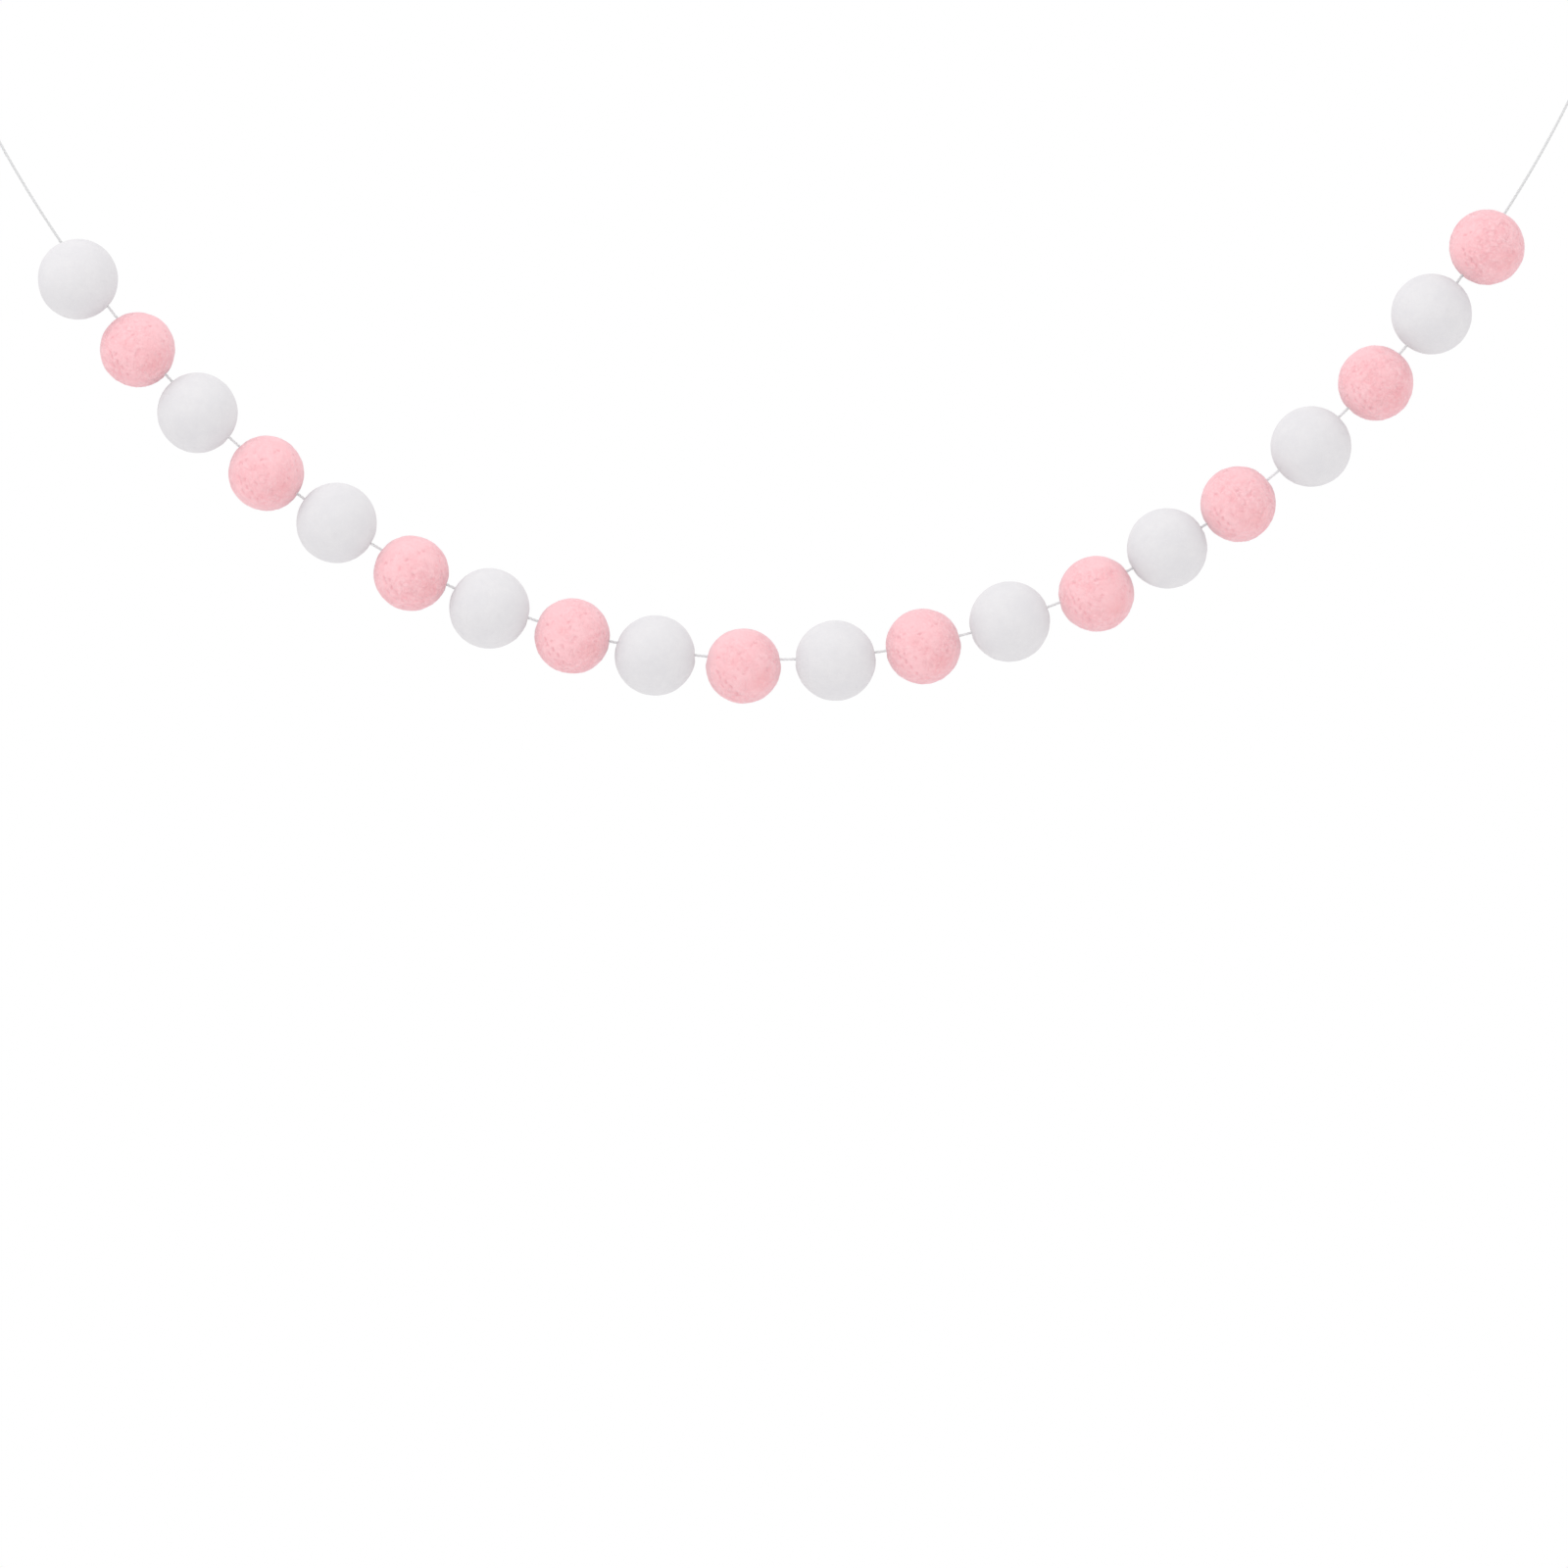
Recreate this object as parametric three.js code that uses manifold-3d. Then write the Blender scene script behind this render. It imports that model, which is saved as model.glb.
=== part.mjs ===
// Felt ball garland: wet-felted wool balls, white and pink in turn, threaded on one cotton string.
// The string hangs in a swag and ends at each side in a tied loop that goes over a hook.
//
// Millimetres. +X runs along the span, +Y away from the viewer and +Z up. The origin is the point
// where the left loop bears on its hook.

import * as THREE from 'three';
import { mergeVertices } from 'three/addons/utils/BufferGeometryUtils.js';
import Module from 'manifold-3d';

const wasm = await Module();
wasm.setup();

// The string and the clearance that every piece threaded on it keeps.
const STRING_DIAMETER = 0.9;
const STRING_SIDES = 8;
const STRING_STEPS = 80;
const CLEARANCE = 0.3;

// A felt ball: its diameter, how far its felted surface swells and sinks, and its finish.
const FELTS = {
  white: { diameter: 25.0, swell: 0.14, color: 0xe7e5e7, roughness: 0.95 },
  pink: { diameter: 23.4, swell: 0.26, color: 0xf9c3c7, roughness: 0.95 },
};
const BALL_DETAIL = 4;
const SWELL_WAVES = 9;
const SWELL_TURNS = { least: 3.0, most: 7.5 };
const FIRST_SEED = 41;
const BORE_STEPS = 3;
const BORE_OVERSHOOT = 2.0;

// The loop tied at each end, from its knot to the point that bears on the hook.
const LOOP_LENGTH = 12.0;
const LOOP_STEPS = 16;
const KNOT = { length: 3.2, radius: 1.5, waist: 1.1, wraps: 3, stepsPerWrap: 3, sides: 8 };

// Half of the loop's centre line, which the other half mirrors: out from the knot, and to the side.
const LOOP_SIDE = [
  { out: 0.5, side: 0.55 },
  { out: 4.0, side: 1.6 },
  { out: 8.0, side: 3.0 },
  { out: 11.2, side: 2.2 },
];

// The cut end of the string, which leaves the knot beside the string.
const TAIL = {
  start: { out: -0.6, side: -0.8 },
  end: { out: -7.0, side: -3.4 },
};

// The string's line from hook to hook, as [along the span, height].
const ROUTE = [
  [0.0, 0.0], [10.9, -24.7], [23.4, -48.7], [37.6, -71.7], [53.4, -93.7],
  [70.8, -114.4], [89.8, -133.5], [110.5, -151.0], [132.7, -166.4], [156.3, -179.6],
  [181.2, -190.2], [207.1, -198.0], [233.7, -202.7], [260.6, -204.3], [287.6, -202.7],
  [314.2, -198.0], [340.1, -190.2], [365.0, -179.6], [388.6, -166.4], [410.8, -151.0],
  [431.4, -133.5], [450.5, -114.4], [467.9, -93.7], [483.7, -71.7], [497.9, -48.7],
  [510.4, -24.7], [521.3, 0.0],
];

// Each ball from the left, white first: how far along the string its middle is, from the left hook,
// and how far its middle hangs below the string's line, because no ball is pierced dead centre.
const BALLS = [
  { along: 97.4, droop: 2.3 },
  { along: 125.9, droop: 1.3 },
  { along: 152.7, droop: 1.2 },
  { along: 181.0, droop: 0.9 },
  { along: 207.7, droop: 0.4 },
  { along: 235.4, droop: 1.8 },
  { along: 261.9, droop: 1.5 },
  { along: 288.7, droop: 1.3 },
  { along: 315.0, droop: 1.7 },
  { along: 342.4, droop: 2.2 },
  { along: 370.7, droop: 1.1 },
  { along: 398.1, droop: 0.7 },
  { along: 426.1, droop: 0.2 },
  { along: 454.1, droop: 2.1 },
  { along: 480.0, droop: -0.1 },
  { along: 506.1, droop: 0.4 },
  { along: 534.7, droop: 0.8 },
  { along: 562.7, droop: 0.6 },
  { along: 590.2, droop: -0.3 },
  { along: 617.2, droop: 1.2 },
];

const MERGE_WITHIN = 1e-4;
const STRING_FINISH = { color: 0xd2d2d2, roughness: 0.85, metalness: 0 };

/** A stretch of a line, between two distances along it. */
class Stretch extends THREE.Curve {
  constructor(line, from, to) {
    super();
    this.line = line;
    this.from = from;
    this.to = to;
  }

  getPoint(share, target = new THREE.Vector3()) {
    const along = this.from + (this.to - this.from) * share;
    return this.line.getPointAt(along / this.line.getLength(), target);
  }
}

/** The string's line as a smooth curve whose distances along it are exact to a few microns. */
function stringLine() {
  const line = new THREE.CatmullRomCurve3(ROUTE.map(([x, z]) => new THREE.Vector3(x, 0, z)));
  line.arcLengthDivisions = 2000;
  return line;
}

/** A closed solid from a three.js geometry, with shared corners merged and empty faces dropped. */
function toSolid(geometry) {
  const bare = geometry.clone();
  bare.deleteAttribute('normal');
  bare.deleteAttribute('uv');
  const merged = mergeVertices(bare, MERGE_WITHIN);
  const corners = merged.index.array;
  const faces = [];
  for (let face = 0; face < corners.length; face += 3) {
    const [a, b, c] = corners.slice(face, face + 3);
    if (a !== b && b !== c && c !== a) {
      faces.push(a, b, c);
    }
  }
  return new wasm.Manifold(new wasm.Mesh({
    numProp: 3,
    vertProperties: new Float32Array(merged.attributes.position.array),
    triVerts: new Uint32Array(faces),
  }));
}

/** A three.js geometry from a closed solid. */
function toGeometry(solid) {
  const mesh = solid.getMesh();
  const geometry = new THREE.BufferGeometry();
  geometry.setAttribute('position', new THREE.BufferAttribute(mesh.vertProperties, 3));
  geometry.setIndex(new THREE.BufferAttribute(mesh.triVerts, 1));
  geometry.computeVertexNormals();
  return geometry;
}

/** A closed tube along a path. */
function tube(path, radius, steps) {
  const section = new THREE.Shape();
  for (let side = 0; side < STRING_SIDES; side += 1) {
    const turn = (2 * Math.PI * side) / STRING_SIDES;
    const place = [radius * Math.cos(turn), radius * Math.sin(turn)];
    if (side === 0) {
      section.moveTo(...place);
    } else {
      section.lineTo(...place);
    }
  }
  section.closePath();
  return new THREE.ExtrudeGeometry(section, { steps, extrudePath: path, bevelEnabled: false });
}

/** The slow swells of one ball's surface: a few waves through it, each in a direction of its own. */
function swells(seed) {
  THREE.MathUtils.seededRandom(seed);
  const between = (low, high) => low + (high - low) * THREE.MathUtils.seededRandom();
  return Array.from({ length: SWELL_WAVES }, () => ({
    direction: new THREE.Vector3(between(-1, 1), between(-1, 1), between(-1, 1)).normalize(),
    turns: between(SWELL_TURNS.least, SWELL_TURNS.most),
    phase: between(0, 2 * Math.PI),
  }));
}

/** A felted ball about its own middle, with the low swells of its surface in its points. */
function feltBall(felt, seed) {
  const geometry = new THREE.IcosahedronGeometry(felt.diameter / 2, BALL_DETAIL);
  const points = geometry.attributes.position;
  const waves = swells(seed);
  const point = new THREE.Vector3();
  for (let i = 0; i < points.count; i += 1) {
    point.fromBufferAttribute(points, i).normalize();
    const heights = waves.map((wave) => Math.sin(wave.turns * point.dot(wave.direction) + wave.phase));
    const height = heights.reduce((sum, each) => sum + each, 0) / Math.sqrt(SWELL_WAVES);
    point.multiplyScalar(felt.diameter / 2 + felt.swell * height);
    points.setXYZ(i, point.x, point.y, point.z);
  }
  return geometry;
}

/** The middle of a ball: a point of the string's line, lowered square to the line by the droop. */
function ballMiddle(line, ball) {
  const share = ball.along / line.getLength();
  const tangent = line.getTangentAt(share);
  const down = new THREE.Vector3(tangent.z, 0, -tangent.x);
  return line.getPointAt(share).addScaledVector(down, ball.droop);
}

/** One threaded ball: the felt with the bore that the string leaves in it. */
function threadedBall(name, felt, ball, line, seed) {
  const reach = felt.diameter / 2 + BORE_OVERSHOOT;
  const flat = Math.cos(Math.PI / STRING_SIDES);
  const boreRadius = (STRING_DIAMETER / 2 + CLEARANCE) / flat;
  const middle = ballMiddle(line, ball);
  const path = new Stretch(line, ball.along - reach, ball.along + reach);
  const bore = tube(path, boreRadius, BORE_STEPS).translate(-middle.x, -middle.y, -middle.z);
  const pierced = toSolid(feltBall(felt, seed)).subtract(toSolid(bore));
  const mesh = new THREE.Mesh(
    toGeometry(pierced),
    new THREE.MeshStandardMaterial({ color: felt.color, roughness: felt.roughness, metalness: 0 }),
  );
  mesh.name = name;
  mesh.position.copy(middle);
  return mesh;
}

/** The knot of an end loop: string wound round itself, as a ridged barrel along +X. */
function knotBarrel() {
  const steps = KNOT.wraps * KNOT.stepsPerWrap;
  const profile = [new THREE.Vector2(0, -KNOT.length / 2)];
  for (let step = 0; step <= steps; step += 1) {
    const ridge = Math.abs(Math.sin((Math.PI * step) / KNOT.stepsPerWrap));
    const radius = KNOT.waist + (KNOT.radius - KNOT.waist) * ridge;
    profile.push(new THREE.Vector2(radius, KNOT.length * (step / steps - 0.5)));
  }
  profile.push(new THREE.Vector2(0, KNOT.length / 2));
  return new THREE.LatheGeometry(profile, KNOT.sides).rotateZ(-Math.PI / 2);
}

/** The centre line of an end loop about its knot, out along +X and sideways along Y. */
function loopLine() {
  const top = new THREE.Vector3(LOOP_LENGTH + STRING_DIAMETER / 2, 0, 0);
  const near = LOOP_SIDE.map(({ out, side }) => new THREE.Vector3(out, side, 0));
  const far = LOOP_SIDE.map(({ out, side }) => new THREE.Vector3(out, -side, 0)).reverse();
  return new THREE.CatmullRomCurve3([...near, top, ...far]);
}

/** One end loop, its knot and its cut tail, as the single piece of string that they are. */
function endLoop(name, bearing, knot) {
  const radius = STRING_DIAMETER / 2;
  const tailLine = new THREE.LineCurve3(
    new THREE.Vector3(TAIL.start.out, TAIL.start.side, 0),
    new THREE.Vector3(TAIL.end.out, TAIL.end.side, 0),
  );
  const solid = toSolid(knotBarrel())
    .add(toSolid(tube(loopLine(), radius, LOOP_STEPS)))
    .add(toSolid(tube(tailLine, radius, 1)));
  const out = bearing.clone().sub(knot).normalize();
  const side = new THREE.Vector3(-out.z, 0, out.x);
  const through = new THREE.Vector3().crossVectors(out, side);
  const mesh = new THREE.Mesh(toGeometry(solid), new THREE.MeshStandardMaterial(STRING_FINISH));
  mesh.name = name;
  mesh.setRotationFromMatrix(new THREE.Matrix4().makeBasis(out, side, through));
  mesh.position.copy(knot);
  return mesh;
}

/** The string between the two knots. */
function string(line) {
  const inset = LOOP_LENGTH + KNOT.length / 2 + CLEARANCE;
  const path = new Stretch(line, inset, line.getLength() - inset);
  const mesh = new THREE.Mesh(
    tube(path, STRING_DIAMETER / 2, STRING_STEPS),
    new THREE.MeshStandardMaterial(STRING_FINISH),
  );
  mesh.name = 'string';
  return mesh;
}

function garland() {
  const group = new THREE.Group();
  const line = stringLine();
  const knotShare = LOOP_LENGTH / line.getLength();
  group.add(string(line));
  group.add(endLoop('left_loop', line.getPointAt(0), line.getPointAt(knotShare)));
  group.add(endLoop('right_loop', line.getPointAt(1), line.getPointAt(1 - knotShare)));
  BALLS.forEach((ball, place) => {
    const kind = place % 2 === 0 ? 'white' : 'pink';
    const number = String(Math.floor(place / 2) + 1).padStart(2, '0');
    group.add(threadedBall(`${kind}_ball_${number}`, FELTS[kind], ball, line, FIRST_SEED + place));
  });
  return group;
}

export default garland();
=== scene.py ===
"""Felt ball garland: wet-felted wool balls threaded on a twisted cotton string with tied end loops.

Each ball is a felted skin with its own swells, nubs, creases and loose fibres, pierced where the
string goes through. The string and its end loops are three twisted plies. Metres, +X along the span,
+Y away from the viewer and +Z up.
"""

import logging
import math
from collections.abc import Mapping, Sequence
from dataclasses import dataclass, field
from enum import Enum
from itertools import product
from typing import ClassVar

import bpy
import numpy as np
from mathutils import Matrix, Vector


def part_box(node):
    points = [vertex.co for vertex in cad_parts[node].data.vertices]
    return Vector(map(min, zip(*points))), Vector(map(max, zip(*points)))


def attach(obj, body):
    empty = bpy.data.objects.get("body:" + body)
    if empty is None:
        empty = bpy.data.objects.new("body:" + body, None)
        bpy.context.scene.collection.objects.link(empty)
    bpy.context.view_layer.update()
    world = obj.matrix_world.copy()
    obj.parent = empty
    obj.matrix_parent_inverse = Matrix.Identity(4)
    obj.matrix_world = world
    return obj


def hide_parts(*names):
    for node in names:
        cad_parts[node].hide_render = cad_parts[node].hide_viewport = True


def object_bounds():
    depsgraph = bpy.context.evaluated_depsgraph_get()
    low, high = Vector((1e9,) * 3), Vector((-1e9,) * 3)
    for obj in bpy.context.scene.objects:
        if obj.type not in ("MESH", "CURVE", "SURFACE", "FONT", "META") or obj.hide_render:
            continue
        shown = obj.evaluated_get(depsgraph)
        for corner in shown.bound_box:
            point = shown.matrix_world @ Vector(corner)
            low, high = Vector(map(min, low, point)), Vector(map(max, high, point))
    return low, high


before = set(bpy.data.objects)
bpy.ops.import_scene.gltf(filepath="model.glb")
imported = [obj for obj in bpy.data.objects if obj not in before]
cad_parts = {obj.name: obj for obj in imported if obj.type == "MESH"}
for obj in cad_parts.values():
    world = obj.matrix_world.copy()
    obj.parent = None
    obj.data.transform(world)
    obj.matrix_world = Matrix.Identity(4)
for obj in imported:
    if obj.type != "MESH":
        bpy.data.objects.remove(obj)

CAD_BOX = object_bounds()
BAKE_MAP = "OFBake"
ROOT_BODY = "root"
MM = 0.001
TINY = 1e-12

# A rectangle of a piece's map: left, bottom, right and top.
Spot = tuple[float, float, float, float]
WHOLE_MAP = (0.0, 0.0, 1.0, 1.0)
# The corners of some faces, three or four a face, and the corners' places on the map.
Faces = tuple[np.ndarray, np.ndarray]

logging.basicConfig(level=logging.INFO, format="%(name)s: %(message)s")
log = logging.getLogger("garland")

# The string's line from hook to hook, as (along the span, height) in metres.
ROUTE = (
    (0.0, 0.0), (0.0109, -0.0247), (0.0234, -0.0487), (0.0376, -0.0717), (0.0534, -0.0937),
    (0.0708, -0.1144), (0.0898, -0.1335), (0.1105, -0.1510), (0.1327, -0.1664), (0.1563, -0.1796),
    (0.1812, -0.1902), (0.2071, -0.1980), (0.2337, -0.2027), (0.2606, -0.2043), (0.2876, -0.2027),
    (0.3142, -0.1980), (0.3401, -0.1902), (0.3650, -0.1796), (0.3886, -0.1664), (0.4108, -0.1510),
    (0.4314, -0.1335), (0.4505, -0.1144), (0.4679, -0.0937), (0.4837, -0.0717), (0.4979, -0.0487),
    (0.5104, -0.0247), (0.5213, 0.0),
)
STRING_DIAMETER = 0.9 * MM
# From the point on a hook to the middle of its knot.
LOOP_LENGTH = 12.0 * MM
KNOT_LENGTH = 3.2 * MM
# The middle of the span, from which the string's finish measures how far out it is, to paint shade
# on its free ends.
MID_SPAN = (0.26, 0.0, 0.0)


class Felt(Enum):
    """The two felts, by the first word of their nodes' names."""

    WHITE = "white"
    PINK = "pink"


# ---------------------------------------------------------------------------------------------
# Lines, fields and meshes
# ---------------------------------------------------------------------------------------------


def unit(vectors: np.ndarray) -> np.ndarray:
    """Returns the vectors, or the one vector, at a length of one."""
    return vectors / np.maximum(np.linalg.norm(vectors, axis=-1, keepdims=True), TINY)


def full_turn(count: int) -> np.ndarray:
    """Returns this many angles, evenly round a full turn."""
    return 2 * math.pi * np.arange(count) / count


def round_about(angles: np.ndarray, first: np.ndarray, second: np.ndarray) -> np.ndarray:
    """Returns the directions at these angles, turned from the first direction to the second."""
    return np.cos(angles)[..., None] * first + np.sin(angles)[..., None] * second


# How many points are drawn between two corners of a line, before they are spaced evenly.
CORNER_STEPS = 60
# How short a side direction may be before another one is tried.
LEAST_SIDE = 0.1


@dataclass
class Line:
    """A smooth line through space, as points an even distance apart.

    Args:
        points: the points, one row each.
    """

    points: np.ndarray

    @classmethod
    def through(cls, corners: Sequence[Sequence[float]], step: float) -> "Line":
        """Draws a smooth line through the corners.

        Args:
            corners: the points that it passes through, in order.
            step: the distance between the points of the line.

        Returns:
            The line, whose last step is fitted so that it ends at the last corner.
        """
        held = np.array(corners, float)
        held = np.vstack([2 * held[0] - held[1], held, 2 * held[-1] - held[-2]])
        gaps = np.sqrt(np.linalg.norm(np.diff(held, axis=0), axis=1))
        share = np.linspace(0, 1, CORNER_STEPS, endpoint=False)[:, None]
        stretches = []
        for i in range(1, len(held) - 2):
            before, start, end, after = held[i - 1 : i + 3]
            g0, g1, g2 = gaps[i - 1 : i + 2]
            leave = (start - before) / g0 - (end - before) / (g0 + g1) + (end - start) / g1
            arrive = (end - start) / g1 - (after - start) / (g1 + g2) + (after - end) / g2
            leave, arrive = leave * g1, arrive * g1
            cube = 2 * (start - end) + leave + arrive
            square = 3 * (end - start) - 2 * leave - arrive
            stretches.append(start + share * (leave + share * (square + share * cube)))
        fine = np.vstack([*stretches, held[-2:-1]])
        return cls(fine).evenly(step)

    @property
    def along(self) -> np.ndarray:
        """The distance of each point along the line."""
        steps = np.linalg.norm(np.diff(self.points, axis=0), axis=1)
        return np.concatenate([[0.0], np.cumsum(steps)])

    @property
    def length(self) -> float:
        """The line's whole length."""
        return float(self.along[-1])

    def at(self, distances: np.ndarray) -> np.ndarray:
        """Returns the points at these distances along the line."""
        along = self.along
        return np.stack([np.interp(distances, along, axis) for axis in self.points.T], -1)

    def evenly(self, step: float) -> "Line":
        """Returns the same line with its points this far apart."""
        count = max(2, round(self.length / step) + 1)
        return Line(self.at(np.linspace(0, self.length, count)))

    def stretch(self, start: float, end: float) -> "Line":
        """Returns the part of the line between two distances along it, with the same spacing."""
        count = max(2, round((end - start) / (self.length / (len(self.points) - 1))) + 1)
        return Line(self.at(np.linspace(start, end, count)))

    def frames(self) -> tuple[np.ndarray, np.ndarray, np.ndarray]:
        """Carries a frame along the line without letting it twist.

        Returns:
            At each point the direction of the line and two directions square to it.
        """
        ahead = unit(np.gradient(self.points, axis=0))
        side = np.cross(ahead[0], (0.0, 1.0, 0.0))
        if np.linalg.norm(side) < LEAST_SIDE:
            side = np.cross(ahead[0], (1.0, 0.0, 0.0))
        sides = [unit(side)]
        for direction in ahead[1:]:
            last = sides[-1]
            sides.append(unit(last - direction * (last @ direction)))
        across = np.array(sides)
        return ahead, across, np.cross(ahead, across)


@dataclass
class Field:
    """A smooth random field in space, from -1 to 1, the same on every run.

    Args:
        seed: which field it is.
        cells: how many cells the field has each way before it repeats.
    """

    seed: int
    cells: int = 24
    heights: np.ndarray = field(init=False, repr=False)
    turn: np.ndarray = field(init=False, repr=False)

    def __post_init__(self) -> None:
        """Draws the heights at the corners of the cells, and the way that the cells are turned."""
        rng = np.random.default_rng(self.seed)
        self.heights = rng.uniform(-1, 1, (self.cells,) * 3)
        self.turn = np.linalg.qr(rng.normal(size=(3, 3)))[0]

    def __call__(self, points: np.ndarray, size: float) -> np.ndarray:
        """Reads the field.

        Args:
            points: where, one row each.
            size: how wide a cell is.

        Returns:
            The field's value at each point.
        """
        place = points @ self.turn / size
        corner = np.floor(place).astype(int)
        part = place - corner
        part = part * part * (3 - 2 * part)
        found = np.zeros(len(points))
        for step in product((0, 1), repeat=3):
            weight = np.prod(np.where(step, part, 1 - part), axis=1)
            x, y, z = ((corner + step) % self.cells).T
            found += weight * self.heights[x, y, z]
        return found


@dataclass
class Skin:
    """The points and faces of one mesh, gathered piece by piece.

    Args:
        tints: the names of the values that each point carries for its finish.
    """

    tints: tuple[str, ...]
    points: list[np.ndarray] = field(default_factory=list)
    values: list[np.ndarray] = field(default_factory=list)
    faces: dict[int, list[np.ndarray]] = field(default_factory=lambda: {3: [], 4: []})
    places: dict[int, list[np.ndarray]] = field(default_factory=lambda: {3: [], 4: []})
    count: int = 0

    def add(
        self,
        points: np.ndarray,
        faces: Sequence[Faces],
        values: np.ndarray,
    ) -> None:
        """Adds some points with their faces.

        Args:
            points: the new points, one row each.
            faces: their faces, whose corners are numbered among these points.
            values: a row of the tints' values for each point.
        """
        for corners, places in faces:
            if len(corners):
                self.faces[corners.shape[1]].append(corners + self.count)
                self.places[corners.shape[1]].append(places)
        self.points.append(points)
        self.values.append(values)
        self.count += len(points)

    def build(self, name: str, material: bpy.types.Material) -> bpy.types.Object:
        """Makes the Blender object.

        Args:
            name: the piece's name.
            material: what it wears.

        Returns:
            The object, linked to the scene, with smooth faces.
        """
        mesh = bpy.data.meshes.new(name)
        groups = [np.concatenate(self.faces[size]) for size in (4, 3) if self.faces[size]]
        places = [np.concatenate(self.places[size]) for size in (4, 3) if self.faces[size]]
        corners = np.concatenate([group.ravel() for group in groups])
        sizes = np.concatenate([np.full(len(group), group.shape[1]) for group in groups])
        mesh.vertices.add(self.count)
        mesh.vertices.foreach_set("co", np.concatenate(self.points).astype(np.float32).ravel())
        mesh.loops.add(len(corners))
        mesh.loops.foreach_set("vertex_index", corners.astype(np.int32))
        mesh.polygons.add(len(sizes))
        starts = np.concatenate([[0], np.cumsum(sizes)[:-1]])
        mesh.polygons.foreach_set("loop_start", starts.astype(np.int32))
        layer = mesh.uv_layers.new(name=BAKE_MAP)
        spots = np.concatenate([spot.reshape(-1, 2) for spot in places])
        layer.uv.foreach_set("vector", spots.astype(np.float32).ravel())
        for tint, column in zip(self.tints, np.concatenate(self.values).T, strict=True):
            values = mesh.attributes.new(tint, "FLOAT", "POINT")
            values.data.foreach_set("value", column.astype(np.float32))
        mesh.update(calc_edges=True)
        mesh.validate()
        mesh.shade_smooth()
        mesh.materials.append(material)
        piece = bpy.data.objects.new(name, mesh)
        bpy.context.scene.collection.objects.link(piece)
        return piece


# How a stretch between two rings is cut into faces: each corner is a ring, 0 or 1, and a place
# along the stretch. The second ring has as many points as the first, twice as many or half.
EVEN_FACES = (((0, 0), (0, 1), (1, 1), (1, 0)),)
WIDER_FACES = (
    ((0, 0), (0, 1), (1, 0.5)), ((0, 0), (1, 0.5), (1, 0)), ((0, 1), (1, 1), (1, 0.5)),
)
NARROWER_FACES = (
    ((0, 0), (0, 0.5), (1, 0)), ((0, 0.5), (0, 1), (1, 1)), ((0, 0.5), (1, 1), (1, 0)),
)


def ring_faces(rings: Sequence[np.ndarray], spot: Spot) -> list[Faces]:
    """Joins closed rings of points, each to the next.

    Args:
        rings: the numbers of each ring's points. A ring has as many points as the one before
            it, twice as many or half as many.
        spot: the rectangle of the map that they take.

    Returns:
        The faces between each pair of rings.
    """
    left, bottom, right, top = spot
    found = []
    for row, pair in enumerate(zip(rings, rings[1:])):
        first, second = (len(ring) for ring in pair)
        pattern = EVEN_FACES
        if second != first:
            pattern = WIDER_FACES if second > first else NARROWER_FACES
        stretches = min(first, second)
        start = np.arange(stretches)
        up = bottom + (top - bottom) * np.array([row, row + 1]) / (len(rings) - 1)
        for face in pattern:
            corners, places = [], []
            for level, share in face:
                ring = pair[level]
                number = ((start + share) * len(ring) / stretches).astype(int) % len(ring)
                corners.append(ring[number])
                across = left + (right - left) * (start + share) / stretches
                places.append(np.stack([across, np.full(stretches, up[level])], -1))
            found.append((np.stack(corners, -1), np.stack(places, 1)))
    return found


def even_rings(rows: int, around: int) -> list[np.ndarray]:
    """Returns the numbers of the points of each ring, where all have as many."""
    return list(np.arange(rows * around).reshape(rows, around))


# ---------------------------------------------------------------------------------------------
# Shader nodes
# ---------------------------------------------------------------------------------------------


def opaque(colour: object) -> object:
    """Returns a colour with its fourth number, and anything else as it is."""
    return (*colour, 1.0) if isinstance(colour, tuple) else colour


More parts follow.
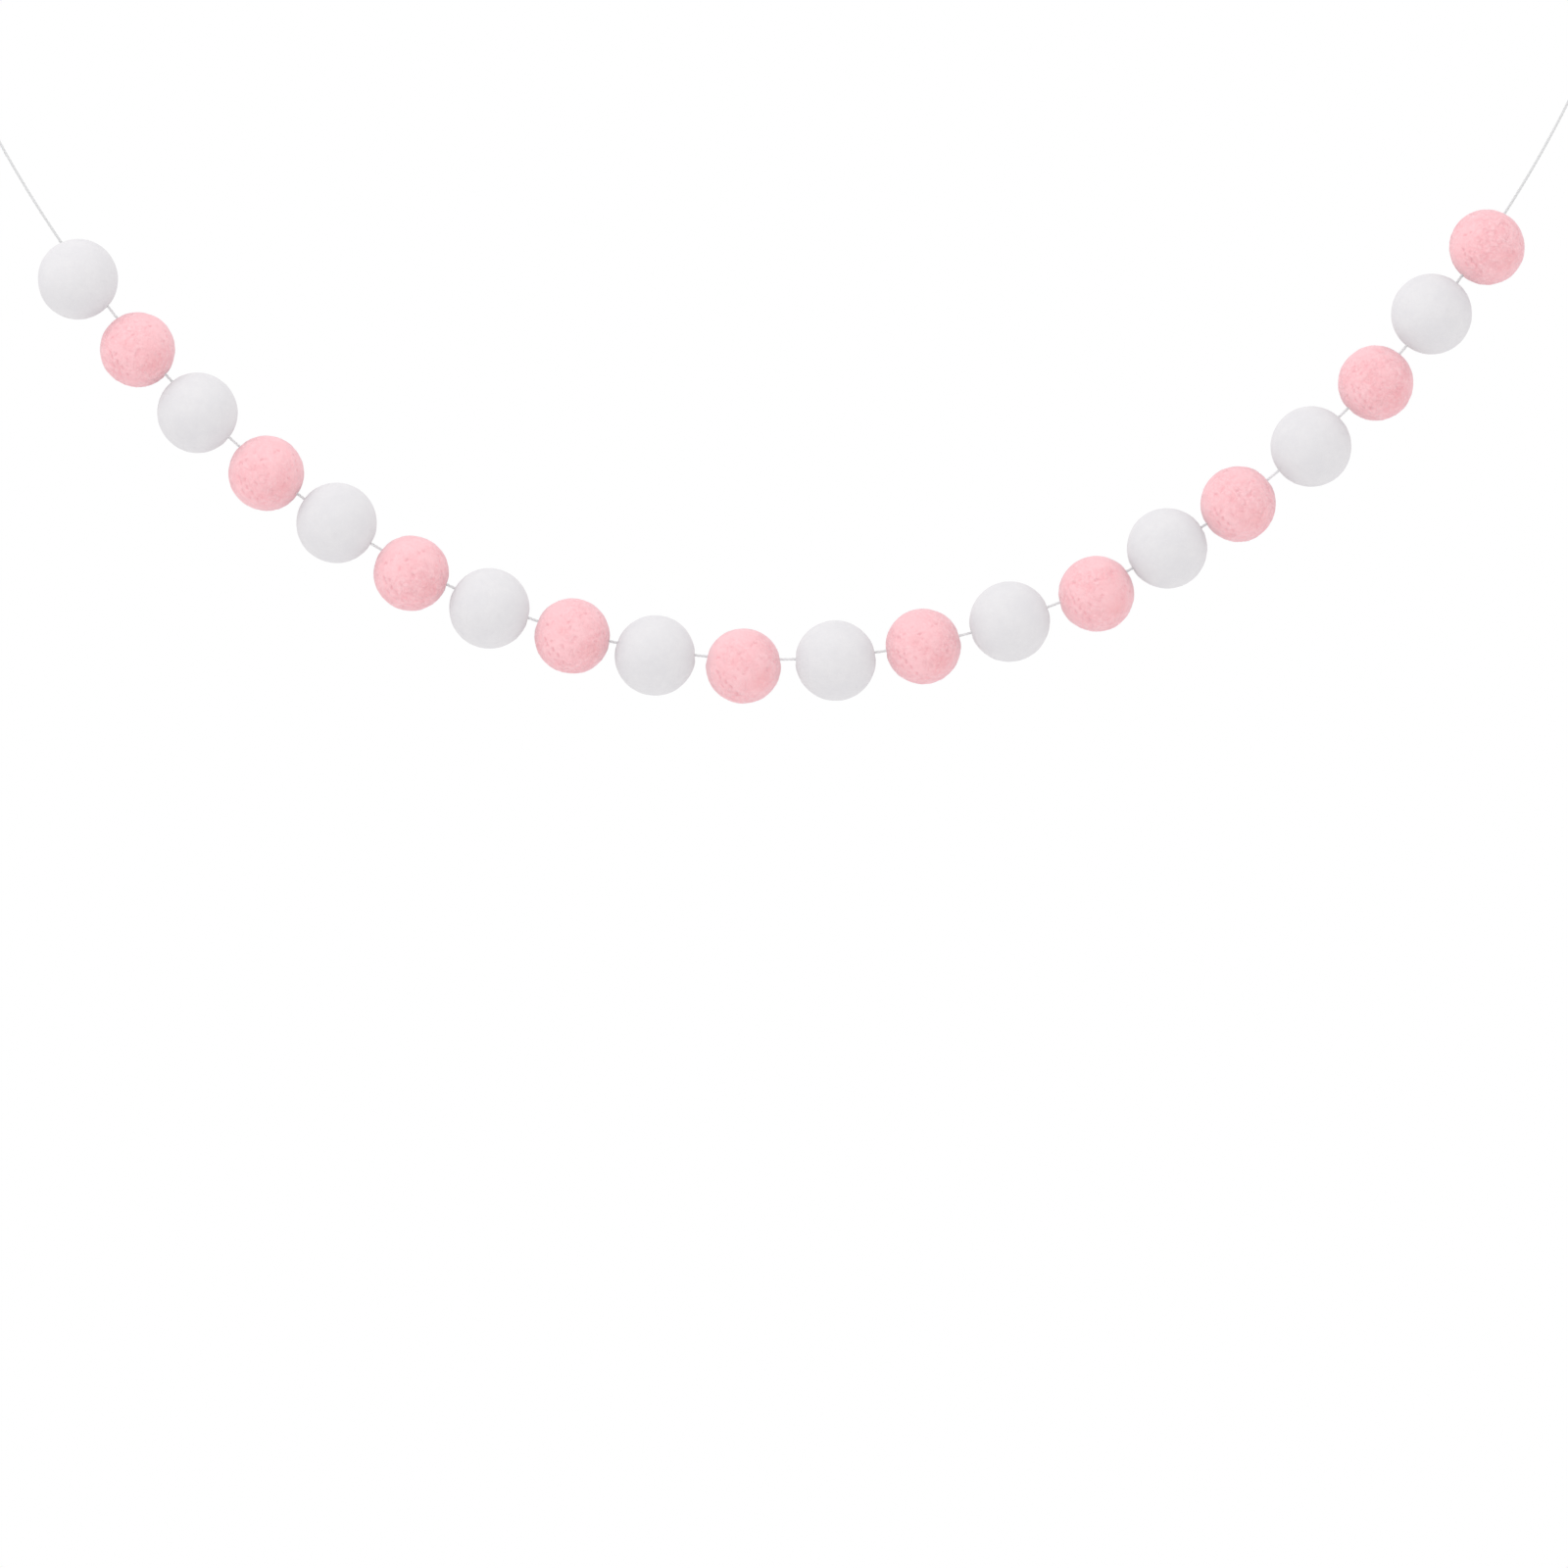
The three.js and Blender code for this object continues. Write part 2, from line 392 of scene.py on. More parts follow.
@dataclass
class Graph:
    """Adds the nodes of one shader tree and links them.

    Args:
        tree: the tree.
    """

    tree: bpy.types.NodeTree

    @classmethod
    def blank(cls, owner: bpy.types.Material | bpy.types.World) -> "Graph":
        """Clears the nodes of a material or of the world and returns the graph to fill."""
        owner.use_nodes = True
        owner.node_tree.nodes.clear()
        return cls(owner.node_tree)

    def add(
        self,
        kind: str,
        inputs: Mapping[str | int, object] | None = None,
        **settings: object,
    ) -> bpy.types.Node:
        """Adds a node.

        Args:
            kind: the node's type, without its "ShaderNode" prefix.
            inputs: for each input, by name or number, its value or the output that feeds it.
            **settings: the node's own properties.

        Returns:
            The node.
        """
        prefix = "" if kind.startswith("Node") else "ShaderNode"
        node = self.tree.nodes.new(prefix + kind)
        for name, value in settings.items():
            setattr(node, name, value)
        for name, value in (inputs or {}).items():
            if isinstance(value, bpy.types.NodeSocket):
                self.link(value, node.inputs[name])
            else:
                node.inputs[name].default_value = value
        return node

    def link(self, source: bpy.types.NodeSocket, target: bpy.types.NodeSocket) -> None:
        """Feeds an output into an input."""
        self.tree.links.new(source, target)

    def maths(self, operation: str, *values: object) -> bpy.types.NodeSocket:
        """Adds a Math node on these values or outputs and returns its result."""
        return self.add("Math", dict(enumerate(values)), operation=operation).outputs[0]

    def vectors(self, operation: str, first: object, second: object) -> bpy.types.NodeSocket:
        """Adds a Vector Math node on two vectors and returns its result, a vector."""
        return self.add("VectorMath", {0: first, 1: second}, operation=operation).outputs[0]

    def distance(self, first: object, second: object) -> bpy.types.NodeSocket:
        """Returns how far apart two places are."""
        node = self.add("VectorMath", {0: first, 1: second}, operation="DISTANCE")
        return node.outputs["Value"]

    def mix(self, share: object, first: object, second: object) -> bpy.types.NodeSocket:
        """Blends two colours.

        Args:
            share: how much of the second colour shows, a number or an output.
            first: the first colour.
            second: the second colour.

        Returns:
            The blended colour.
        """
        inputs = {0: share, 6: opaque(first), 7: opaque(second)}
        return self.add("Mix", inputs, data_type="RGBA").outputs[2]

    def ramp(self, value: object, low: float, high: float) -> bpy.types.NodeSocket:
        """Returns 0 where the value is at low, 1 where it is at high, and held between them."""
        node = self.add("MapRange", {"Value": value, "From Min": low, "From Max": high})
        return node.outputs[0]

    def tint(self, name: str) -> bpy.types.NodeSocket:
        """Returns the value that each point of the mesh carries under this name."""
        node = self.add("Attribute", attribute_name=name, attribute_type="GEOMETRY")
        return node.outputs["Fac"]

    def place(self) -> bpy.types.NodeSocket:
        """Returns each point's place on its object, in metres."""
        return self.add("TexCoord").outputs["Object"]

    def group(
        self, tree: bpy.types.NodeTree, place: object, **sizes: float
    ) -> bpy.types.NodeOutputs:
        """Places a node group with its own sizes and returns its outputs."""
        return self.add("Group", {"Vector": place, **sizes}, node_tree=tree).outputs

    def cloth(
        self,
        colour: bpy.types.NodeSocket,
        height: bpy.types.NodeSocket,
        relief: float,
        look: Mapping[str, object],
    ) -> None:
        """Ends a material with a matte fibrous shader.

        Args:
            colour: its colour.
            height: its fine relief.
            relief: how far that relief stands up, in metres.
            look: the shader's other inputs, by name.
        """
        bump = self.add("Bump", {"Strength": 1.0, "Distance": relief, "Height": height})
        shader = self.add(
            "BsdfPrincipled", {"Base Color": colour, **look, "Normal": bump.outputs["Normal"]}
        )
        self.add("OutputMaterial", {"Surface": shader.outputs["BSDF"]})


def start_group(
    name: str, sizes: Mapping[str, float], outputs: Sequence[str]
) -> tuple[Graph, bpy.types.NodeOutputs, bpy.types.NodeInputs]:
    """Starts a shader node group that is given a Vector and some sizes.

    Args:
        name: the group's name.
        sizes: its other inputs, each with its default in metres.
        outputs: the names of its outputs, each a number that varies over the surface.

    Returns:
        The graph to fill, what it is given, and what it has to put out.
    """
    tree = bpy.data.node_groups.new(name, "ShaderNodeTree")
    tree.interface.new_socket("Vector", in_out="INPUT", socket_type="NodeSocketVector")
    for label, default in sizes.items():
        socket = tree.interface.new_socket(label, in_out="INPUT", socket_type="NodeSocketFloat")
        socket.default_value = default
    for label in outputs:
        tree.interface.new_socket(label, in_out="OUTPUT", socket_type="NodeSocketFloat")
    graph = Graph(tree)
    return graph, graph.add("NodeGroupInput").outputs, graph.add("NodeGroupOutput").inputs


# How each layer of the matted wool is turned, in radians.
MAT_TURNS = ((0.25, 0.1, 0.0), (1.2, 0.5, 0.9), (0.6, 1.4, 2.1), (2.3, 0.8, 2.9))
# How often the fibres sway in a metre, and how far.
SWAYS_A_METRE = 420.0
SWAY = 0.0011
# How far from its middle height the noise still draws a fibre, and the heights between which a
# single fibre comes to stand out.
FIBRE_EDGE = 0.16
STRAND_EDGES = (0.66, 0.76)
# How far the tufts curl, in tufts, and the distances from a tuft's middle at which its rise
# starts and ends.
TUFT_CURL = 0.7
TUFT_EDGES = (0.75, 0.15)
# The heights of the noise between which a patch fades in.
PATCH_EDGES = (0.34, 0.66)


def matted_fibres() -> bpy.types.NodeTree:
    """Makes the group that draws long thin fibres matted in several directions.

    Returns:
        A group with the inputs Vector, Width and Length, in metres, and the outputs Height, the
        relief of the matted fibres, and Strand, which is 1 along single fibres that stand out.
    """
    sizes = {"Width": 0.2 * MM, "Length": 2.0 * MM}
    graph, given, result = start_group("matted_fibres", sizes, ("Height", "Strand"))
    place = given["Vector"]
    sway = graph.add("TexNoise", {"Vector": place, "Scale": SWAYS_A_METRE, "Detail": 1.0})
    drift = graph.vectors("MULTIPLY", sway.outputs["Color"], (SWAY,) * 3)
    swayed = graph.vectors("ADD", place, drift)
    finer = graph.maths("DIVIDE", 1.0, given["Width"])
    longer = graph.maths("DIVIDE", 1.0, given["Length"])
    stretch = graph.add("CombineXYZ", {0: finer, 1: finer, 2: longer}).outputs[0]
    height: bpy.types.NodeSocket | None = None
    strand: bpy.types.NodeSocket | None = None
    for turn in MAT_TURNS:
        turned = graph.add(
            "VectorRotate", {"Vector": swayed, "Rotation": turn}, rotation_type="EULER_XYZ"
        )
        drawn = graph.vectors("MULTIPLY", turned.outputs[0], stretch)
        noise = graph.add("TexNoise", {"Vector": drawn, "Scale": 1.0, "Detail": 1.0}).outputs[0]
        off_middle = graph.maths("ABSOLUTE", graph.maths("SUBTRACT", noise, 0.5))
        layer = graph.ramp(off_middle, FIBRE_EDGE, 0.0)
        single = graph.ramp(noise, *STRAND_EDGES)
        height = layer if height is None else graph.maths("ADD", height, layer)
        strand = single if strand is None else graph.maths("MAXIMUM", strand, single)
    graph.link(graph.maths("DIVIDE", height, float(len(MAT_TURNS))), result["Height"])
    graph.link(strand, result["Strand"])
    return graph.tree


def wool_tufts() -> bpy.types.NodeTree:
    """Makes the group that gathers the wool into small rounded tufts.

    Returns:
        A group with the inputs Vector and Size, in metres, and the output Height, which is 1 on
        top of each tuft and 0 in the gaps between them.
    """
    graph, given, result = start_group("wool_tufts", {"Size": 1.0 * MM}, ("Height",))
    inputs = {0: given["Vector"], 3: graph.maths("DIVIDE", 1.0, given["Size"])}
    sized = graph.add("VectorMath", inputs, operation="SCALE").outputs[0]
    curl = graph.add("TexNoise", {"Vector": sized, "Scale": 1.3, "Detail": 2.0})
    drift = graph.vectors("MULTIPLY", curl.outputs["Color"], (TUFT_CURL,) * 3)
    curled = graph.vectors("ADD", sized, drift)
    inputs = {"Vector": curled, "Scale": 1.0, "Smoothness": 0.35}
    cells = graph.add("TexVoronoi", inputs, feature="SMOOTH_F1")
    graph.link(graph.ramp(cells.outputs["Distance"], *TUFT_EDGES), result["Height"])
    return graph.tree


def soft_patches() -> bpy.types.NodeTree:
    """Makes the group that clouds a surface with soft patches.

    Returns:
        A group with the inputs Vector and Size, in metres, and the output Mask, from 0 to 1.
    """
    graph, given, result = start_group("soft_patches", {"Size": 6.0 * MM}, ("Mask",))
    finer = graph.maths("DIVIDE", 1.0, given["Size"])
    inputs = {"Vector": given["Vector"], "Scale": finer, "Detail": 2.5, "Roughness": 0.55}
    noise = graph.add("TexNoise", inputs)
    graph.link(graph.ramp(noise.outputs[0], *PATCH_EDGES), result["Mask"])
    return graph.tree


@dataclass(frozen=True)
class WoolTools:
    """The node groups that the woolly finishes share.

    Args:
        fibres: the matted fibres.
        tufts: the rounded tufts.
        patches: the soft patches.
    """

    fibres: bpy.types.NodeTree
    tufts: bpy.types.NodeTree
    patches: bpy.types.NodeTree


# Red, green and blue, each from 0 to 1.
Colour = tuple[float, float, float]
# The colour that thrown light is washed out towards.
WASHED_OUT = (0.84, 0.82, 0.84)
# The heights of a tuft under which it is a gap, painted in shade, and over which it is a top,
# painted with a highlight.
TUFT_GAP = 0.45
TUFT_TOP = 0.55


@dataclass(frozen=True)
class FeltFinish:
    """Wet-felted wool, matte and clouded, with single fibres lying on it. Sizes are in metres.

    Args:
        name: the material's name, which is also its slot.
        wool: the wool's main colour.
        deep: its colour in patches where the felt is denser.
        pale: its colour in patches where loose wool lies on it.
        dense: its darker colour in the patches on the ball's front, of denser wool, the broad one at
            the lower right also painted shade.
        crease: the painted shade colour of its creases, partings, the gaps between its tufts and the
            hole that the string goes through.
        strand: the colour of a single fibre that catches the light, which also paints a highlight on
            the tufts' tops.
        strand_share: how strongly the single fibres show.
        tuft: how strongly the tufts show where the felt is nubbiest, in their relief, in the painted
            shade of their gaps and in the painted highlight on their tops.
        tuft_size: how far apart they are.
        relief: how far the matted fibres stand up.
        sheen: how much the fibres at the edge light up.
        sheen_tint: the colour that they light up in.
        soft_cast: how far the light that it throws on its neighbours is washed out.
        fibre_width: how wide a matted fibre is.
        fibre_length: how long it is.
        broad_patch: the size of its broad clouds.
        small_patch: the size of the small ones in them.
        tuft_lift: how much further than the fibres the tufts stand up.
    """

    name: str
    wool: Colour
    deep: Colour
    pale: Colour
    dense: Colour
    crease: Colour
    strand: Colour
    strand_share: float
    tuft: float
    tuft_size: float
    relief: float
    sheen: float
    sheen_tint: Colour
    soft_cast: float = 0.0
    fibre_width: float = 0.34 * MM
    fibre_length: float = 3.2 * MM
    broad_patch: float = 7.0 * MM
    small_patch: float = 2.2 * MM
    tuft_lift: float = 5.0

    def material(self, tools: WoolTools) -> bpy.types.Material:
        """Makes the material.

        Args:
            tools: the shared node groups.

        Returns:
            The material.
        """
        material = bpy.data.materials.new(self.name)
        graph = Graph.blank(material)
        place = graph.place()
        fibres = graph.group(
            tools.fibres, place, Width=self.fibre_width, Length=self.fibre_length
        )
        broad = graph.group(tools.patches, place, Size=self.broad_patch)["Mask"]
        small = graph.group(tools.patches, place, Size=self.small_patch)["Mask"]
        clouds = graph.maths("MULTIPLY", broad, small)
        colour = graph.mix(broad, self.deep, self.wool)
        colour = graph.mix(clouds, colour, self.pale)
        tufts = graph.group(tools.tufts, place, Size=self.tuft_size)["Height"]
        nubby = graph.maths("MULTIPLY", graph.tint("nubby"), self.tuft)
        # Painted shade: the gaps between the tufts, and the creases, partings, pucker and hole
        # marked on the mesh, take the crease colour.
        gaps = graph.maths("MULTIPLY", graph.ramp(tufts, TUFT_GAP, 0.0), nubby)
        dark = graph.maths("MAXIMUM", gaps, graph.tint("hollow"))
        # The patches on the front darken it: denser wool, the broad one at the lower right also
        # painted shade.
        colour = graph.mix(graph.tint("dense"), colour, self.dense)
        colour = graph.mix(dark, colour, self.crease)
        # Painted highlight: the tufts' tops take the strand colour.
        painted_highlight = graph.maths("MULTIPLY", graph.ramp(tufts, TUFT_TOP, 1.0), nubby)
        shows = graph.maths("MULTIPLY", fibres["Strand"], self.strand_share)
        shows = graph.maths("MAXIMUM", shows, graph.tint("loose"))
        shows = graph.maths("MAXIMUM", shows, painted_highlight)
        colour = graph.mix(shows, colour, self.strand)
        if self.soft_cast:
            thrown = graph.add("LightPath").outputs["Is Diffuse Ray"]
            washed = graph.maths("MULTIPLY", thrown, self.soft_cast)
            colour = graph.mix(washed, colour, WASHED_OUT)
        raised = graph.maths("MULTIPLY", graph.maths("MULTIPLY", tufts, nubby), self.tuft_lift)
        look = {
            "Roughness": 0.95,
            "Specular IOR Level": 0.15,
            "Sheen Weight": self.sheen,
            "Sheen Roughness": 0.35,
            "Sheen Tint": opaque(self.sheen_tint),
        }
        graph.cloth(colour, graph.maths("ADD", fibres["Height"], raised), self.relief, look)
        return material


@dataclass(frozen=True)
class CottonFinish:
    """Soft twisted cotton. Sizes are in metres.

    Args:
        name: the material's name, which is also its slot.
        cotton: the cotton's colour on top of each ply.
        painted_valley_shade: its colour between the plies, painted shade.
        strand: the colour of its loose hairs.
        free_end_shade: its colour at its free ends, outside the balls, painted shade that
            matches their tone to the stretch that the balls shade.
        threaded: how far the stretch inside the balls reaches from the middle of the span.
        fade: over how far the threaded stretch turns into the shaded free ends.
        cloud: how strongly the colour of the loose hairs clouds it.
        cloud_size: the size of those clouds.
        fibre_width: how wide one of its fibres is.
        fibre_length: how long it is.
        relief: how far its fibres stand up.
    """

    name: str
    cotton: Colour
    painted_valley_shade: Colour
    strand: Colour
    free_end_shade: Colour
    threaded: float
    fade: float = 5 * MM
    cloud: float = 0.35
    cloud_size: float = 3.0 * MM
    fibre_width: float = 0.12 * MM
    fibre_length: float = 0.9 * MM
    relief: float = 0.03 * MM

    def material(self, tools: WoolTools) -> bpy.types.Material:
        """Makes the material.

        Args:
            tools: the shared node groups.

        Returns:
            The material.
        """
        material = bpy.data.materials.new(self.name)
        graph = Graph.blank(material)
        place = graph.place()
        fibres = graph.group(
            tools.fibres, place, Width=self.fibre_width, Length=self.fibre_length
        )
        patches = graph.group(tools.patches, place, Size=self.cloud_size)
        # Painted shade between the plies.
        colour = graph.mix(graph.tint("hollow"), self.cotton, self.painted_valley_shade)
        lift = graph.maths("MULTIPLY", patches["Mask"], self.cloud)
        lift = graph.maths("MAXIMUM", lift, graph.tint("loose"))
        colour = graph.mix(lift, colour, self.strand)
        # Painted shade on the free ends outside the balls, which the balls don't shade as they shade
        # the threaded stretch.
        off = graph.distance(place, MID_SPAN)
        free = graph.ramp(off, self.threaded, self.threaded + self.fade)
        colour = graph.mix(free, colour, self.free_end_shade)
        look = {
            "Roughness": 0.8,
            "Specular IOR Level": 0.25,
            "Sheen Weight": 0.25,
            "Sheen Roughness": 0.4,
        }
        graph.cloth(colour, fibres["Height"], self.relief, look)
        return material


# The crease colours are painted shade, and the strand colours also paint a highlight on the tufts'
# tops.
WHITE_FELT = FeltFinish(
    name="white_felt",
    wool=(0.73, 0.723, 0.731),
    deep=(0.714, 0.708, 0.719),
    pale=(0.746, 0.74, 0.744),
    dense=(0.73, 0.72, 0.73),
    crease=(0.65, 0.64, 0.65),
    strand=(0.82, 0.815, 0.82),
    strand_share=0.25,
    tuft=0.08,
    tuft_size=1.3 * MM,
    relief=0.035 * MM,
    sheen=0.06,
    sheen_tint=(1.0, 1.0, 1.0),
)
PINK_FELT = FeltFinish(
    name="pink_felt",
    wool=(0.975, 0.59, 0.615),
    deep=(0.965, 0.565, 0.59),
    pale=(0.98, 0.61, 0.635),
    dense=(0.93, 0.495, 0.515),
    crease=(0.87, 0.37, 0.41),
    strand=(0.984, 0.65, 0.675),
    strand_share=0.3,
    tuft=0.33,
    tuft_size=1.1 * MM,
    relief=0.135 * MM,
    sheen=0.35,
    sheen_tint=(0.75, 0.93, 1.0),
    soft_cast=0.75,
)
# The colour between the plies is painted shade, and so is the darker colour of the free ends.
COTTON = CottonFinish(
    name="string",
    cotton=(0.86, 0.865, 0.865),
    painted_valley_shade=(0.76, 0.765, 0.765),
    strand=(0.90, 0.90, 0.90),
    free_end_shade=(0.72, 0.728, 0.725),
    threaded=0.227,
)


# ---------------------------------------------------------------------------------------------
# Hairs
# ---------------------------------------------------------------------------------------------


# How many sides a hair has.
HAIR_SIDES = 3
# A closed end takes this part of its strip of the map, one in so many.
END_PART = 50


@dataclass(frozen=True)
class Hairs:
    """Loose fibres that leave a surface, each a tapered three-sided hair. Sizes are in metres.

    Args:
        length: the shortest and longest.
        rise: how far the tips stand off the surface, least and most.
        radius: half a hair's thickness at its root.
        steps: how many steps a hair has.
        curl: how far a tip bends aside, least and most, as a share of the hair's length.
        taper: how much thinner than its root a hair is near its tip.
        lift: how late along the hair its rise comes.
        margin: what is left free at each side of a hair's strip of the map, as a share.
    """

    length: tuple[float, float]
    rise: tuple[float, float]
    radius: float
    steps: int = 3
    curl: tuple[float, float] = (-0.5, 0.5)
    taper: float = 0.6
    lift: float = 1.4
    margin: float = 0.15

    def grow(
        self,
        skin: Skin,
        roots: np.ndarray,
        normals: np.ndarray,
        bend: float,
        spot: Spot,
        rng: np.random.Generator,
    ) -> None:
        """Adds one hair at each root.

        Args:
            skin: the mesh that they join. One of its tints is loose.
            roots: where they leave the surface.
            normals: the surface's outward directions there.
            bend: the radius of the surface that they follow.
            spot: the rectangle of the map that they take.
            rng: the source of their differences.
        """
        points = self.strands(roots, normals, bend, rng)
        count, per_hair = points.shape[:2]
        row = [float(tint == "loose") for tint in skin.tints]
        values = np.tile(row, (count * per_hair, 1))
        skin.add(points.reshape(-1, 3), self.sides(count, per_hair, spot), values)

    def strands(
        self, roots: np.ndarray, normals: np.ndarray, bend: float, rng: np.random.Generator
    ) -> np.ndarray:
        """Returns the points of each hair: a ring for each of its steps, and its tip.

        Args:
            roots: where they leave the surface.
            normals: the surface's outward directions there.
            bend: the radius of the surface that they follow.
            rng: the source of their differences.

        Returns:
            The points, shaped hairs by points by three.
        """
        count = len(roots)
        ways = rng.normal(size=(count, 3))
        lay = unit(ways - normals * (ways * normals).sum(1, keepdims=True))
        across = np.cross(normals, lay)
        length, rise, curl = (
            rng.uniform(*reach, count)[:, None] for reach in (self.length, self.rise, self.curl)
        )
        round_it = round_about(full_turn(HAIR_SIDES), normals[:, None], across[:, None])
        rings = []
        for step in range(self.steps + 1):
            share = step / self.steps
            run = length * share
            height = rise * share**self.lift - run**2 / (2 * bend) - self.radius * (1 - share)
            middle = roots + lay * run + across * (curl * run * share) + normals * height
            rings.append(middle[:, None])
            if step < self.steps:
                rings[-1] = rings[-1] + self.radius * (1 - self.taper * share) * round_it
        return np.concatenate(rings, 1)

    def sides(self, count: int, per_hair: int, spot: Spot) -> list[Faces]:
        """Returns the faces of the hairs and their places on the map.

        Args:
            count: how many hairs there are.
            per_hair: how many points each one has.
            spot: the rectangle of the map that they take.

        Returns:
            The four-sided faces, and the three-sided ones that close the roots and the tips.
        """
        left, bottom, right, top = spot
        first = (np.arange(count) * per_hair)[:, None]
        edges = np.array([self.margin, 1 - self.margin])
        spans = left + (right - left) * (np.arange(count)[:, None] + edges) / count
        levels = [bottom + (top - bottom) * step / self.steps for step in range(self.steps)]
        quads = []
        for step in range(self.steps - 1):
            low, high = levels[step : step + 2]
            for turn in range(HAIR_SIDES):
                a = HAIR_SIDES * step + turn
                b = HAIR_SIDES * step + (turn + 1) % HAIR_SIDES
                corners = [b, a, a + HAIR_SIDES, b + HAIR_SIDES]
                places = hair_spots(spans, (low, low, high, high), (0, 1, 1, 0))
                quads.append((first + corners, places))
        inside = bottom + (top - bottom) / END_PART
        root = hair_spots(spans, (bottom, bottom, inside), (0, 1, 0))
        tris = [(first + list(range(HAIR_SIDES)), root)]
        low = levels[-1]
        base = HAIR_SIDES * (self.steps - 1)
        for turn in range(HAIR_SIDES):
            corners = [base + (turn + 1) % HAIR_SIDES, base + turn, per_hair - 1]
            tris.append((first + corners, hair_spots(spans, (low, low, top), (0, 1, 0))))
        return [
            tuple(np.concatenate(column) for column in zip(*group)) for group in (quads, tris)
        ]


def hair_spots(spans: np.ndarray, heights: Sequence[float], sides: Sequence[int]) -> np.ndarray:
    """Returns the map places of one face a hair.

    Args:
        spans: the left and right edge of each hair's strip.
        heights: the height of each corner.
        sides: which edge each corner is at, 0 for the left and 1 for the right.

    Returns:
        The places, shaped hairs by corners by two.
    """
    across = spans[:, list(sides)]
    up = np.broadcast_to(np.array(heights, float), across.shape)
    return np.stack([across, up], -1)


# ---------------------------------------------------------------------------------------------
# Pieces, the string and its end loops
# ---------------------------------------------------------------------------------------------


# An object is called what its node is called, with one word made fuller.
FULLER_WORDS = {"loop": "end_loop", "ball": "felt_ball", "string": "twisted_string"}


@dataclass
class Piece:
    """One piece of the garland, which stands for one node. It is twine unless it says otherwise.

    Args:
        name: its node's name.
    """

    name: str
    # The names of the values that its points carry for its finish.
    tints: ClassVar[tuple[str, ...]] = ("hollow", "loose")

    @property
    def title(self) -> str:
        """The name of its object."""
        word = next(word for word in FULLER_WORDS if word in self.name)
        return self.name.replace(word, FULLER_WORDS[word])

    @property
    def slot(self) -> str:
        """The slot of its finish."""
        return "string"

    def shape(self, skin: Skin, rng: np.random.Generator) -> None:
        """Adds its points and faces to its mesh, with random differences from the source."""
        raise NotImplementedError

    def build(self, material: bpy.types.Material, rng: np.random.Generator) -> bpy.types.Object:
        """Makes the piece and puts it on the object's body in place of its node.

        Args:
            material: its finish.
            rng: the source of its random differences.

        Returns:
            The object.
        """
        skin = Skin(self.tints)
        self.shape(skin, rng)
        piece = skin.build(self.title, material)
        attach(piece, ROOT_BODY)
        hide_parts(self.name)
        mesh = piece.data
        log.info("%s: %d points, %d faces", piece.name, len(mesh.vertices), len(mesh.polygons))
        return piece


# The heights that the loose hairs and the frayed end take in their third of the twine's map.
HAIR_STRIP = (0.0, 0.6)
FRAY_STRIP = (0.7, 0.9)


